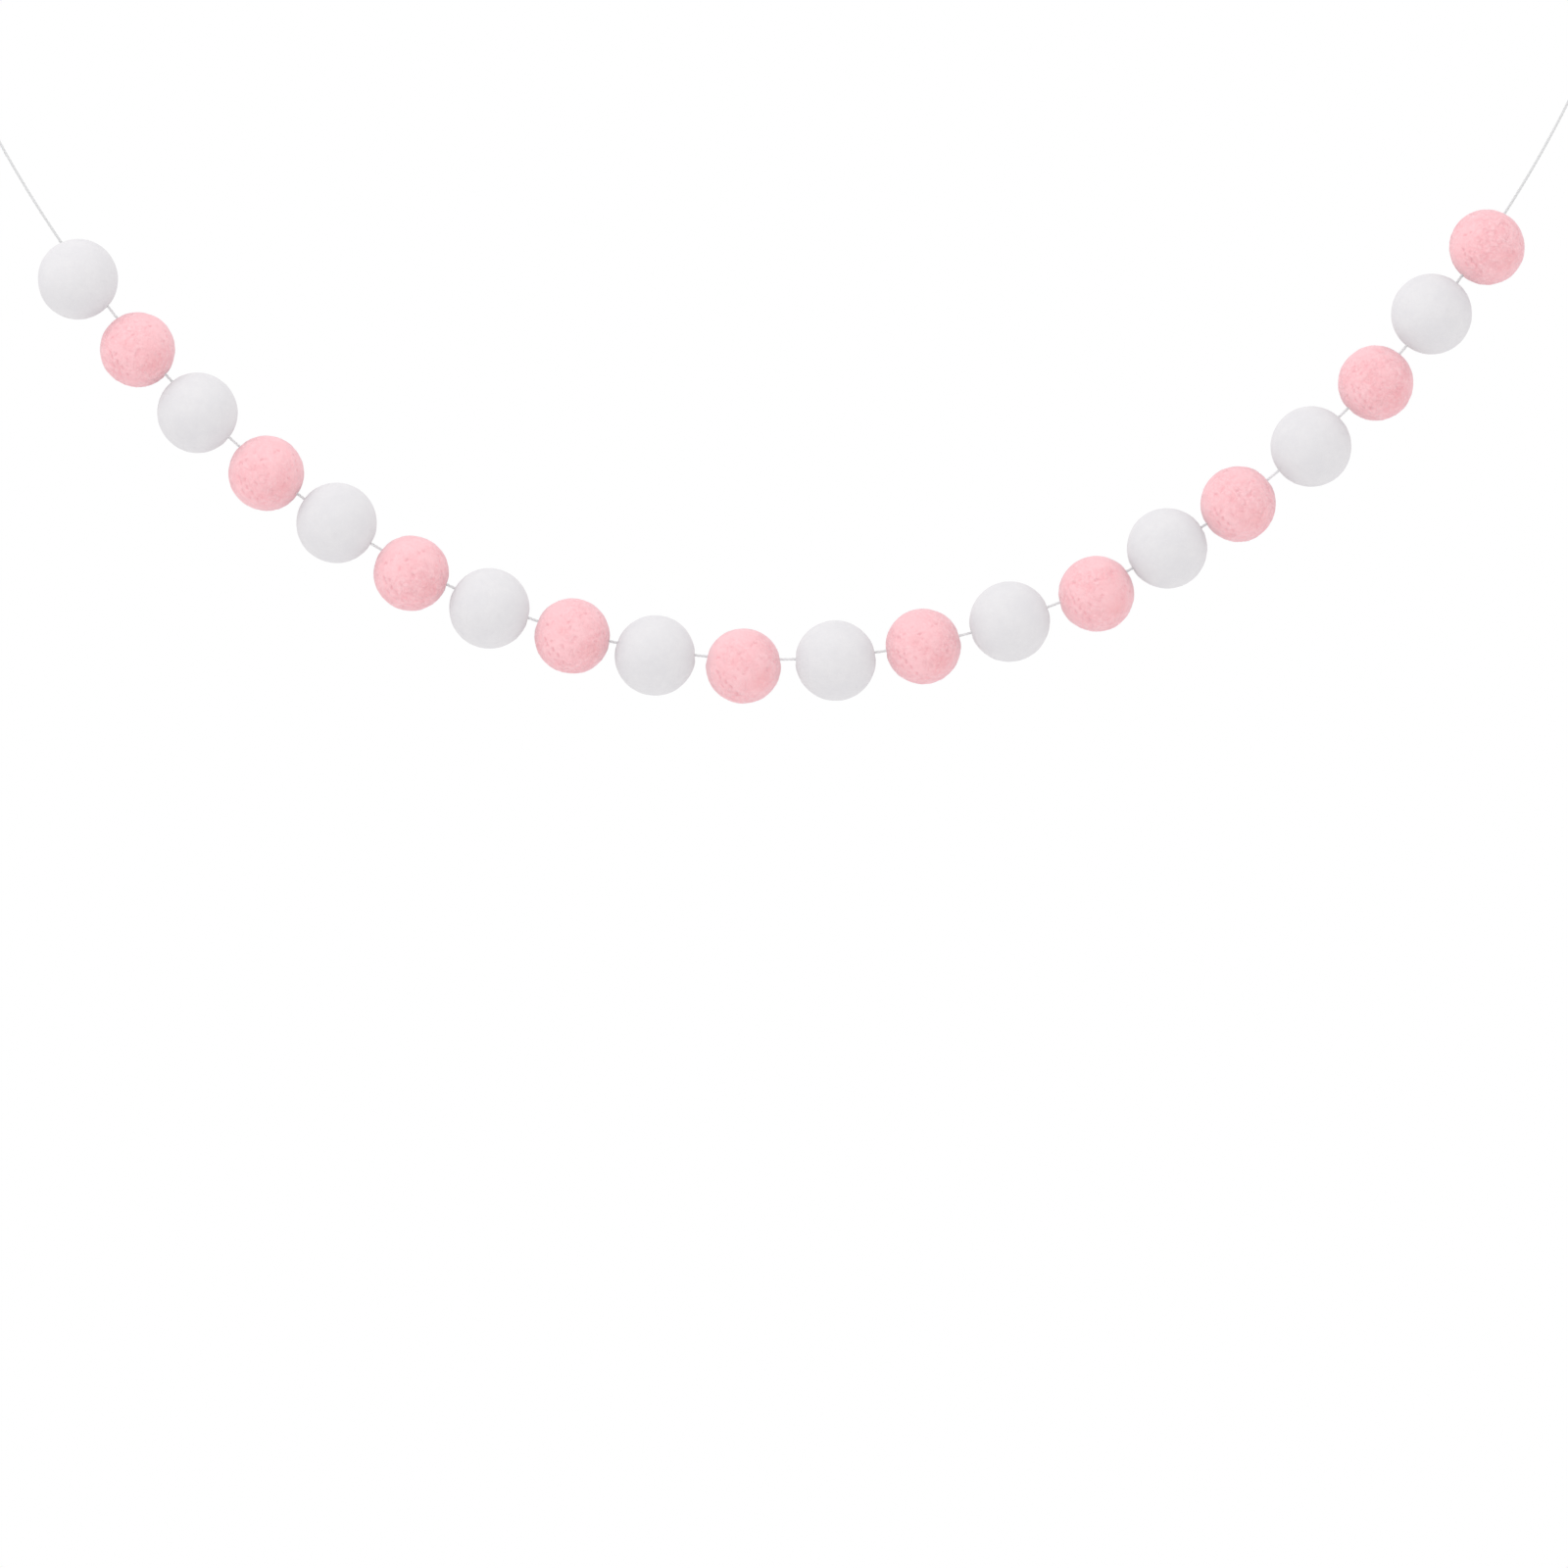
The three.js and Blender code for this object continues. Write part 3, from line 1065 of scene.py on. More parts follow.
@dataclass
class Twine:
    """Twisted cotton: plies laid round each other. Sizes are in metres.

    Args:
        diameter: its thickness over all its plies.
        plies: how many plies it has.
        ply_share: half a ply's thickness, as a share of half the twine's.
        pitch: how far along a ply goes once round.
        around: how many points a section has.
        step: the distance between sections.
        uneven: how far its thickness varies, as a share.
        uneven_length: how slowly it varies along the twine.
        cut_length: how far from a cut end it starts to thin out.
        cut_thin: how much of its thickness is lost at the cut.
        cut_curve: how late along that length it thins out.
        hairs: its loose hairs.
        hairs_a_metre: how many of them.
        fray: the fibres at a cut end.
        fray_inset: how far in from the rim of the cut they start, as a share.
        fray_count: how many start from each point of the rim.
        fray_bend: the radius that they bend to, in diameters of the twine.
    """

    diameter: float = STRING_DIAMETER
    plies: int = 3
    ply_share: float = 0.55
    pitch: float = 3.6 * MM
    around: int = 15
    step: float = 0.32 * MM
    uneven: float = 0.035
    uneven_length: float = 2.1 * MM
    cut_length: float = 2.2 * MM
    cut_thin: float = 0.45
    cut_curve: float = 1.5
    hairs: Hairs = Hairs(
        length=(0.5 * MM, 1.5 * MM), rise=(0.05 * MM, 0.4 * MM), radius=0.014 * MM
    )
    hairs_a_metre: float = 800.0
    fray: Hairs = Hairs(
        length=(0.15 * MM, 0.55 * MM), rise=(0.4 * MM, 1.1 * MM), radius=0.035 * MM
    )
    fray_inset: float = 0.4
    fray_count: int = 2
    fray_bend: float = 10.0

    def section(self) -> tuple[np.ndarray, np.ndarray]:
        """Draws the outline of the plies, seen end on.

        Returns:
            The outline's distance from the middle at each of its points, and how deep each
            point lies between two plies, from 0 to 1, which sets the painted shade between them.
        """
        half = self.diameter / 2
        ply = self.ply_share * half
        out = half - ply
        lobe = 2 * math.pi / self.plies
        off = (full_turn(self.around) + lobe / 2) % lobe - lobe / 2
        reach = out * np.cos(off) + np.sqrt(ply**2 - (out * np.sin(off)) ** 2)
        deep = (half - reach) / (half - reach.min())
        return reach, deep

    def sections(self, line: Line, reach: np.ndarray, cut: bool) -> tuple[np.ndarray, np.ndarray]:
        """Twists the outline along a line.

        Args:
            line: where the twine's middle goes.
            reach: the outline's distance from the middle at each of its points.
            cut: whether the last end is a cut one, which thins out.

        Returns:
            The points, and each one's outward direction, shaped sections by points by three.
        """
        _, across, up = line.frames()
        turns = full_turn(self.around)
        along = line.along[:, None]
        angle = turns + 2 * math.pi * along / self.pitch
        ways = round_about(angle, across[:, None], up[:, None])
        uneven = 1 + self.uneven * np.sin(along / self.uneven_length + 2 * turns)
        to_end = np.maximum(0, 1 - (line.length - along) / self.cut_length)
        thin = 1 - self.cut_thin * to_end**self.cut_curve * cut
        return line.points[:, None] + (reach * uneven * thin)[..., None] * ways, ways

    def caps(self, rows: int, spot: Spot) -> Faces:
        """Closes the first and the last section, each round a point in its middle.

        Args:
            rows: how many sections there are.
            spot: the rectangle of the map that both ends take.

        Returns:
            The faces' corners and their places on the map.
        """
        left, bottom, right, top = spot
        wheel = np.arange(self.around)
        ahead = (wheel + 1) % self.around
        last = (rows - 1) * self.around
        middle = np.full(self.around, rows * self.around)
        first_end = np.stack([ahead, wheel, middle], -1)
        last_end = np.stack([last + wheel, last + ahead, middle + 1], -1)
        places = np.array([(left, bottom), (right, bottom), (left, top)])
        return np.concatenate([first_end, last_end]), np.tile(places, (2 * self.around, 1, 1))

    def lay(
        self, skin: Skin, line: Line, spot: Spot, rng: np.random.Generator, cut: bool = False
    ) -> None:
        """Adds the twine along a line, closed at both ends, with its hairs.

        Args:
            skin: the mesh that it joins, whose tints are the twine's.
            line: where its middle goes.
            spot: the rectangle of the map that it takes. Its lowest third is for the hairs.
            rng: the source of its hairs' differences.
            cut: whether its last end is a cut one, which thins out and frays.
        """
        fine = line.evenly(self.step)
        reach, deep = self.section()
        rings, ways = self.sections(fine, reach, cut)
        rows, around = rings.shape[:2]
        left, bottom, right, top = spot
        room = (top - bottom) / 3
        floor = bottom + room
        end_spot = (left, floor, left + (right - left) / END_PART, floor + room / END_PART)
        points = np.concatenate([rings.reshape(-1, 3), fine.points[:1], fine.points[-1:]])
        values = np.zeros((len(points), len(skin.tints)))
        # Painted shade between the plies, by how deep each point lies.
        values[: rows * around, skin.tints.index("hollow")] = np.tile(deep, rows)
        body = ring_faces(even_rings(rows, around), (left, floor, right, top))
        skin.add(points, [*body, self.caps(rows, end_spot)], values)
        strips = [
            (left, bottom + low * room, right, bottom + high * room)
            for low, high in (HAIR_STRIP, FRAY_STRIP)
        ]
        count = round(self.hairs_a_metre * fine.length)
        row = rng.integers(1, rows - 1, count)
        column = rng.integers(0, around, count)
        roots, normals = rings[row, column], ways[row, column]
        self.hairs.grow(skin, roots, normals, self.diameter, strips[0], rng)
        if cut:
            roots = rings[-1] + self.fray_inset * (fine.points[-1] - rings[-1])
            roots = np.repeat(roots, self.fray_count, axis=0)
            ahead = np.broadcast_to(unit(fine.points[-1] - fine.points[-2]), roots.shape)
            self.fray.grow(skin, roots, ahead, self.fray_bend * self.diameter, strips[1], rng)


# Half of an end loop's middle line, which the other half mirrors: out from the knot and to the
# side, in metres.
LOOP_SIDE = ((0.0005, 0.00055), (0.0040, 0.0016), (0.0080, 0.0030), (0.0112, 0.0022))
# The rectangles of an end loop's map that its eye and its knot take.
EYE_SPOT = (0.0, 0.0, 1.0, 0.49)
KNOT_SPOT = (0.0, 0.5, 1.0, 0.99)


@dataclass
class EndLoop(Piece):
    """The loop tied at one end of the string, with its knot and its cut tail.

    Args:
        bearing: the point that bears on the hook.
        knot: the knot's middle.
        twine: the twine that it is tied in.
        knot_radius: half the knot's width.
        turns: how many turns the knot has.
        wrap_steps: how many points those turns are drawn through.
        tuck: how far in towards the knot's own axis the first turn starts, as a share.
        tuck_share: how much of the turns is tucked in.
        tail: where the cut tail goes, as (out from the knot, to its side).
    """

    bearing: np.ndarray
    knot: np.ndarray
    twine: Twine
    knot_radius: float = 1.5 * MM
    turns: float = 2.6
    wrap_steps: int = 70
    tuck: float = 0.85
    tuck_share: float = 0.14
    tail: tuple[tuple[float, float], ...] = (
        (-0.0028, -0.0017), (-0.0050, -0.0027), (-0.0070, -0.0034),
    )

    @property
    def out(self) -> np.ndarray:
        """The direction from the knot to the hook."""
        return unit(self.bearing - self.knot)

    def place(self, out: float, side: float, through: float = 0.0) -> np.ndarray:
        """Returns the point this far out from the knot, to its side and through the loop."""
        aside = np.array([-self.out[2], 0.0, self.out[0]])
        across = np.cross(self.out, aside)
        return self.knot + out * self.out + side * aside + through * across

    def eye(self) -> Line:
        """Returns the middle line of the loop itself."""
        reach = float(np.linalg.norm(self.bearing - self.knot)) + self.twine.diameter / 2
        near = [self.place(out, side) for out, side in LOOP_SIDE]
        far = [self.place(out, -side) for out, side in reversed(LOOP_SIDE)]
        return Line.through([*near, self.place(reach, 0.0), *far], self.twine.step)

    def wraps(self) -> Line:
        """Returns the middle line of the turns that make the knot and of the tail they end in."""
        radius = self.knot_radius - self.twine.diameter / 2
        room = KNOT_LENGTH - self.twine.diameter
        share = np.linspace(0, 1, self.wrap_steps)
        angle = math.pi - 2 * math.pi * self.turns * (1 - share)
        tuck = 1 - self.tuck * np.maximum(0, self.tuck_share - share) / self.tuck_share
        corners = [
            self.place(room * (0.5 - s), radius * t * math.cos(a), radius * t * math.sin(a))
            for s, a, t in zip(share, angle, tuck, strict=True)
        ]
        tail = [self.place(out, side) for out, side in self.tail]
        return Line.through([*corners, *tail], self.twine.step)

    def shape(self, skin: Skin, rng: np.random.Generator) -> None:
        """Adds the eye of the loop, and then the turns of its knot."""
        self.twine.lay(skin, self.eye(), EYE_SPOT, rng)
        self.twine.lay(skin, self.wraps(), KNOT_SPOT, rng, cut=True)


@dataclass
class String(Piece):
    """The string, from one knot to the other.

    Args:
        line: its line from hook to hook.
        twine: what it is made of.
        gap: what is left free beside each knot.
    """

    line: Line
    twine: Twine
    gap: float = 0.3 * MM

    def inside(self, inset: float) -> Line:
        """Returns the line of the string without this much at each end."""
        return self.line.stretch(inset, self.line.length - inset)

    def run(self) -> Line:
        """Returns the line of the string between the knots."""
        return self.inside(LOOP_LENGTH + KNOT_LENGTH / 2 + self.gap)

    def shape(self, skin: Skin, rng: np.random.Generator) -> None:
        """Adds the string, which runs on into the middle of each knot."""
        self.twine.lay(skin, self.inside(LOOP_LENGTH), WHOLE_MAP, rng)

    def loops(self) -> list[EndLoop]:
        """Returns the two end loops, left and right."""
        whole = self.line.length
        ends = ((0.0, LOOP_LENGTH), (whole, whole - LOOP_LENGTH))
        return [
            EndLoop(name, *(self.line.at(np.array([d]))[0] for d in places), self.twine)
            for name, places in zip(("left_loop", "right_loop"), ends, strict=True)
        ]


# ---------------------------------------------------------------------------------------------
# The felt balls
# ---------------------------------------------------------------------------------------------


# How a crease wanders about its line: how far, in half widths, how often, and how differently
# from crease to crease.
WANDER = 0.4
WANDER_TURNS = 3.1
WANDER_START = 40
# How far off the line the lips beside it stand, in half widths, and how high, as a share of its
# depth.
LIP_PLACE = 2.1
LIP_HEIGHT = 0.15
# The depth at which a crease's painted shade would be wholly dark, in millimetres, and the darkest
# that it gets.
DARK_DEPTH = 0.33
DARKEST = 0.72
# A crease's half width, as a share of the width that it is given.
HALF_WIDTH = 0.6
# How near the ball's edge a crease may lie: the least square of how far its middle is towards
# the viewer, as a share of the radius.
LEAST_FRONT = 0.02


@dataclass(frozen=True)
class Crease:
    """A short crease on the front of a ball.

    Args:
        across: how far right of the middle it is, as a share of the ball's radius.
        up: how far above the middle.
        length: its length in millimetres.
        lean: its direction in degrees, anticlockwise from level.
        width: its width in millimetres.
        depth: its depth in millimetres.
    """

    across: float
    up: float
    length: float
    lean: float
    width: float
    depth: float

    def press(
        self, points: np.ndarray, radius: float, lean: float, shift: np.ndarray
    ) -> tuple[np.ndarray, np.ndarray]:
        """Presses the crease into the front of a ball.

        Args:
            points: the points of the ball's sphere, about its middle.
            radius: the sphere's radius.
            lean: how far the ball is turned about the line of sight, in radians.
            shift: how far its marks are moved, across and up, as shares of the radius.

        Returns:
            How deep each point is pressed in, and how dark the painted shade in the crease is there,
            from 0 to 1.
        """
        turn = np.array([[math.cos(lean), -math.sin(lean)], [math.sin(lean), math.cos(lean)]])
        across, up = turn @ (np.array([self.across, self.up]) + shift)
        front = math.sqrt(max(LEAST_FRONT, 1 - across**2 - up**2))
        middle = unit(np.array([across, -front, up]))
        angle = math.radians(self.lean) + lean
        run = np.array([math.cos(angle), 0.0, math.sin(angle)])
        run = unit(run - middle * (run @ middle))
        side = np.cross(middle, run)
        off = points - middle * radius
        along = off @ run / (self.length * MM / 2)
        wander = WANDER * np.sin(WANDER_TURNS * along + WANDER_START * self.across)
        aside = off @ side / (HALF_WIDTH * self.width * MM) + wander
        reach = (points @ middle > radius / 2) * np.exp(-(along**4))
        groove = reach * np.exp(-(aside**2))
        lips = reach * np.exp(-((np.abs(aside) - LIP_PLACE) ** 2))
        depth = self.depth * MM
        return depth * (groove - LIP_HEIGHT * lips), groove * min(DARKEST, self.depth / DARK_DEPTH)


def creases(*rows: tuple[float, float, float, float, float, float]) -> tuple[Crease, ...]:
    """Returns the creases whose sizes these rows give."""
    return tuple(Crease(*row) for row in rows)


PINK_CREASES = creases(
    (-0.08, 0.33, 1.3, 0, 0.68, 0.31), (0.02, 0.36, 1.4, 5, 0.61, 0.13),
    (-0.65, 0.24, 1.6, 8, 0.74, 0.27), (-0.50, 0.32, 1.2, 40, 0.57, 0.18),
    (-0.29, 0.51, 0.9, 60, 0.61, 0.16), (0.25, 0.54, 1.5, 48, 0.57, 0.18),
    (0.35, 0.60, 1.4, 15, 0.65, 0.25), (-0.17, 0.41, 0.8, 0, 0.54, 0.14),
    (-0.03, 0.19, 0.8, -30, 0.51, 0.18), (0.07, 0.11, 0.8, -60, 0.51, 0.18),
    (-0.26, 0.10, 2.2, 70, 0.70, 0.14), (0.11, -0.06, 1.4, 15, 0.54, 0.22),
    (0.08, -0.13, 1.6, 4, 0.54, 0.18), (0.04, -0.21, 1.3, 20, 0.54, 0.20),
    (-0.10, -0.10, 1.4, -25, 0.54, 0.14), (-0.68, -0.15, 1.5, -75, 0.78, 0.32),
    (-0.62, -0.28, 1.4, -50, 0.65, 0.27), (-0.51, -0.20, 1.1, 60, 0.59, 0.25),
    (-0.46, -0.41, 1.6, -62, 0.78, 0.34), (-0.56, -0.52, 1.7, -86, 0.65, 0.29),
    (-0.32, -0.55, 1.6, -52, 0.70, 0.29), (-0.38, -0.68, 1.3, -70, 0.57, 0.20),
    (-0.18, -0.72, 1.6, -74, 0.68, 0.31), (-0.21, -0.31, 1.5, -60, 0.57, 0.20),
    (0.74, 0.50, 1.1, -20, 0.59, 0.23), (0.79, 0.35, 1.1, -45, 0.57, 0.20),
    (0.72, 0.22, 1.3, 0, 0.57, 0.18), (0.85, 0.09, 1.1, -45, 0.57, 0.23),
    (0.65, -0.13, 1.5, 10, 0.81, 0.20), (-0.01, -0.46, 3.3, 90, 0.34, 0.12),
    (0.06, -0.50, 3.4, 88, 0.34, 0.14), (0.14, -0.54, 3.2, 86, 0.34, 0.13),
    (0.22, -0.50, 3.0, 84, 0.34, 0.12),
)
WHITE_CREASES = creases(
    (0.03, -0.36, 2.4, 90, 0.50, 0.07), (-0.24, -0.55, 3.0, 88, 0.45, 0.03),
    (0.20, -0.62, 2.6, 80, 0.45, 0.03),
)


@dataclass(frozen=True)
class Partings:
    """Fine lines that part the wool, in patches. Sizes are in metres.

    Args:
        gap: how far apart they are.
        width: how wide each one is, in heights of the field that draws it.
        patch: the size of the patches where they show.
        shown: how strongly they show in a middling patch.
        contrast: how much that varies between patches.
    """

    gap: float
    width: float
    patch: float
    shown: float
    contrast: float

    def trace(self, place: np.ndarray, lines: Field, patches: Field) -> np.ndarray:
        """Returns how far down in a parting each place is, from 0 to 1."""
        shown = np.clip(self.shown + self.contrast * patches(place, self.patch), 0, 1)
        return shown * np.exp(-((lines(place, self.gap) / self.width) ** 2))


@dataclass(frozen=True)
class Fall:
    """A share that grows from the top of a ball to its underside.

    Args:
        middle: the share at the height of the ball's middle.
        growth: how much more it is at the lowest point.
        least: the least that it is anywhere.
    """

    middle: float
    growth: float
    least: float

    def at(self, up: np.ndarray, patches: np.ndarray | float = 0.0) -> np.ndarray:
        """Returns the share at these heights, from -1 to 1, with some patches added to it."""
        return np.clip(self.middle - self.growth * up + patches, self.least, 1.0)


@dataclass(frozen=True)
class FeltSkin:
    """How one felt's surface is shaped. Sizes are in metres.

    Args:
        swell: the height of its broad swells.
        nub: the height of its nubs.
        streak: the height of the fibres that lie side by side on it.
        dark: how dark the painted shade in the partings between its nubs is, from 0 to 1.
        front: the creases on its front.
        dense: the darker patches on its front, of denser wool, the broad one at the lower
        right also painted shade, each as how far right of the middle it is, how far above and how
        wide, as shares of the ball's radius, and how strong, from 0 to 1.
        gap: the distance between the points of its surface.
        around: how many of them go round it at its widest.
        hairs: its loose fibres.
        hair_count: how many of them.
        swell_sizes: how broad the large and the small swells are.
        nub_size: how broad the nubs are.
        nubby: how nubby it is.
        nubby_patch: the size of its nubbier patches.
        nubby_contrast: how much nubbier they are.
        partings: the lines between its nubs.
        finer: the finer lines on them.
        combed: how much of the fibres that lie side by side shows.
        fibre_gaps: the distance between the broad fibres and between the fine ones.
        drawn_out: how fast the fibres change along their length, as a share of across it.
    """

    swell: float
    nub: float
    streak: float
    dark: float
    front: tuple[Crease, ...]
    dense: tuple[tuple[float, float, float, float], ...]
    gap: float
    around: int
    hairs: Hairs
    hair_count: int
    swell_sizes: tuple[float, float] = (9 * MM, 5 * MM)
    nub_size: float = 2.4 * MM
    nubby: Fall = Fall(middle=0.64, growth=0.2, least=0.15)
    nubby_patch: float = 7 * MM
    nubby_contrast: float = 0.7
    partings: Partings = Partings(
        gap=1.5 * MM, width=0.24, patch=1.4 * MM, shown=0.5, contrast=1.4
    )
    finer: Partings = Partings(gap=0.95 * MM, width=0.26, patch=2.1 * MM, shown=0.45, contrast=1.5)
    combed: Fall = Fall(middle=0.6, growth=0.9, least=0.25)
    fibre_gaps: tuple[float, float] = (0.9 * MM, 0.6 * MM)
    drawn_out: float = 0.16


SKINS = {
    Felt.WHITE: FeltSkin(
        swell=0.09 * MM,
        nub=0.015 * MM,
        streak=0.05 * MM,
        dark=0.04,
        front=WHITE_CREASES,
        dense=(),
        gap=0.52 * MM,
        around=152,
        hairs=Hairs(length=(1.0 * MM, 2.6 * MM), rise=(0.05 * MM, 0.5 * MM), radius=0.009 * MM),
        hair_count=200,
    ),
    Felt.PINK: FeltSkin(
        swell=0.11 * MM,
        nub=0.14 * MM,
        streak=0.075 * MM,
        dark=0.58,
        front=PINK_CREASES,
        # The broad patch at the lower right is painted shade as well as denser wool.
        dense=((0.50, -0.42, 0.30, 0.9), (-0.24, 0.12, 0.15, 0.45)),
        gap=0.31 * MM,
        around=240,
        hairs=Hairs(length=(0.9 * MM, 2.6 * MM), rise=(0.05 * MM, 0.5 * MM), radius=0.011 * MM),
        hair_count=320,
    ),
}
# The rectangles of a ball's map that its felt and its hairs take.
FELT_SPOT = (0.0, 0.12, 1.0, 1.0)
BALL_HAIR_SPOT = (0.0, 0.0, 1.0, 0.1)
# How much of the first, coarser layer's height the small swells, the finer partings and fibres,
# and the nubs' own swells have, and how dark the painted shade in the finer partings is beside
# the others.
SMALL_SWELLS = 0.5
FINER_HEIGHT = 0.6
NUB_SWELL = 0.5
FINER_DARK = 0.85
# A ball's outside is further from its middle than this share of its width.
OUTSIDE_SHARE = 0.45
# Points that agree to this many decimals of a metre are one.
SAME_PLACE = 7
# The balls' own random fields have seeds this far apart.
SEEDS_APART = 10
# How many roots are drawn for each hair, since some lie too near the string, and how near is too
# near, in widths of the pucker.
ROOTS_DRAWN = 2
ROOTS_CLEAR = 2
# The direction away from the viewer.
BACK = np.array([0.0, 1.0, 0.0])


@dataclass
class FeltBall(Piece):
    """One wet-felted ball, pierced by the string. Sizes are in metres.

    Args:
        line: the string's line from hook to hook.
        felt: which felt it is.
        seed: what sets its own swells, nubs and fibres.
        turned: whether it is turned a quarter, so that its grain is level and not upright.
        mouth: half the width of the hole that the string goes through.
        pucker: how far the felt is drawn in round the string.
        pucker_reach: how far from the string it is drawn in.
        pucker_shade: how dark the painted shade round the string is, from 0 to 1.
        bore_rings: how many rings line the hole.
        ring_gap: the distance between its rings where the string enters.
        ring_growth: how much further apart each ring is than the one before it.
        halvings: how often the rings' number of points may be halved towards the string.
        tilt: how far its marks may be turned, in degrees.
        shift: how far they may be moved, as a share of its radius.
        pressed: how deep its creases may be, least and most, as a share of their depth.
        spread: how far apart the places are where the balls' random fields are read.
    """

    line: Line
    felt: Felt
    seed: int
    turned: bool = False
    mouth: float = 0.50 * MM
    pucker: float = 0.75 * MM
    pucker_reach: float = 1.1 * MM
    pucker_shade: float = 0.55
    bore_rings: int = 4
    ring_gap: float = 0.14 * MM
    ring_growth: float = 1.22
    halvings: int = 3
    tilt: float = 3.0
    shift: float = 0.015
    pressed: tuple[float, float] = (0.8, 1.15)
    spread: float = 0.2
    tints: ClassVar[tuple[str, ...]] = ("hollow", "loose", "dense", "nubby")

    @property
    def slot(self) -> str:
        """The slot of its finish."""
        return f"{self.felt.value}_felt"

    @property
    def look(self) -> FeltSkin:
        """How its felt's surface is shaped."""
        return SKINS[self.felt]

    def measure(self) -> tuple[np.ndarray, float]:
        """Fits a sphere to the outside of the ball's node.

        Returns:
            The sphere's middle and its radius.
        """
        low, high = (np.array(corner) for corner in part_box(self.name))
        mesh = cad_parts[self.name].data
        points = np.empty(3 * len(mesh.vertices), np.float32)
        mesh.vertices.foreach_get("co", points)
        points = points.reshape(-1, 3).astype(float)
        away = np.linalg.norm(points - (low + high) / 2, axis=1)
        outside = points[away > OUTSIDE_SHARE * (high - low).min()]
        outside = np.unique(outside.round(SAME_PLACE), axis=0)
        terms = np.column_stack([2 * outside, np.ones(len(outside))])
        found = np.linalg.lstsq(terms, (outside**2).sum(1), rcond=None)[0]
        return found[:3], math.sqrt(found[3] + found[:3] @ found[:3])

    def ring_angles(self, radius: float) -> np.ndarray:
        """Returns each ring's angle from the string, close together where it enters and leaves."""
        arcs, gap = [self.mouth], self.ring_gap
        half = math.pi * radius / 2
        while arcs[-1] + gap < half:
            arcs.append(arcs[-1] + gap)
            gap = min(self.look.gap, self.ring_growth * gap)
        near = np.array(arcs) / radius
        return np.concatenate([near, [math.pi / 2], math.pi - near[::-1]])

    def ring_counts(self, polar: np.ndarray) -> np.ndarray:
        """Returns how many points each ring has, an eighth, a quarter, half or all of the most."""
        halvings = np.clip(np.round(-np.log2(np.sin(polar))), 0, self.halvings).astype(int)
        return self.look.around // 2**halvings

    def relief(
        self, ways: np.ndarray, radius: float, rng: np.random.Generator
    ) -> tuple[np.ndarray, np.ndarray, np.ndarray]:
        """Works out the height of the felt over its sphere.

        Args:
            ways: the outward direction of each point.
            radius: the sphere's radius.
            rng: the source of the ball's own differences.

        Returns:
            Each point's height in metres, how dark the painted shade of the creases and partings is
            there, from 0 to 1, and how nubby the felt is there, from 0 to 1.
        """
        look = self.look
        up = ways @ np.array([-1.0, 0.0, 0.0] if self.turned else [0.0, 0.0, 1.0])
        place = ways * radius + rng.uniform(0, self.spread, 3)
        broad, fine, mask, extra = (Field(self.seed * SEEDS_APART + k) for k in range(4))
        large, small = look.swell_sizes
        height = look.swell * (broad(place, large) + SMALL_SWELLS * fine(place, small))
        rough = look.nubby.at(up, look.nubby_contrast * mask(place, look.nubby_patch))
        parting = look.partings.trace(place, fine, mask)
        finer = look.finer.trace(place, extra, extra)
        height -= look.nub * rough * (parting + FINER_HEIGHT * finer)
        height += NUB_SWELL * look.nub * broad(place, look.nub_size)
        grain = [look.drawn_out, 1.0, 1.0] if self.turned else [1.0, 1.0, look.drawn_out]
        drawn = place * np.array(grain)
        large, small = look.fibre_gaps
        fibres = fine(drawn, large) + FINER_HEIGHT * mask(drawn, small)
        height += look.streak * look.combed.at(up) * fibres
        # Painted shade in the partings, stronger where the felt is nubbier.
        hollow = look.dark * rough * np.maximum(parting, FINER_DARK * finer)
        lean = math.radians(rng.uniform(-self.tilt, self.tilt))
        lean += math.pi / 2 if self.turned else 0.0
        shift = rng.uniform(-self.shift, self.shift, 2)
        # Each crease is pressed in and painted with shade.
        for crease in look.front:
            depth, dark = crease.press(ways * radius, radius, lean, shift)
            height -= depth * rng.uniform(*self.pressed)
            hollow = np.maximum(hollow, dark)
        return height, np.clip(hollow, 0, 1), rough

    def density_and_shade(self, ways: np.ndarray) -> np.ndarray:
        """Returns how strongly the darker patches show at each of these directions, from 0 to 1:
        denser wool, and at the lower right painted shade.
        """
        found = np.zeros(len(ways))
        for across, up, size, strength in self.look.dense:
            middle = np.array([across, -math.sqrt(1 - across**2 - up**2), up])
            off = np.linalg.norm(ways - middle, axis=1) / size
            found = np.maximum(found, strength * np.exp(-(off**2)))
        return found

    def shape(self, skin: Skin, rng: np.random.Generator) -> None:
        """Adds the felt with its creases, the hole that the string goes through, and the hairs."""
        middle, radius = self.measure()
        route = self.line.points
        inside = np.flatnonzero(np.linalg.norm(route - middle, axis=1) < radius)
        threaded = Line(route[inside[0] : inside[-1] + 1])
        ends = threaded.points[[0, -1]] - middle
        axis = unit(ends[1] - ends[0])
        polar = self.ring_angles(radius)
        counts = self.ring_counts(polar)
        ways = self.spread_out(polar, counts, (ends[0] + ends[1]) / 2, axis, radius)
        height, hollow, rough = self.relief(ways, radius, rng)
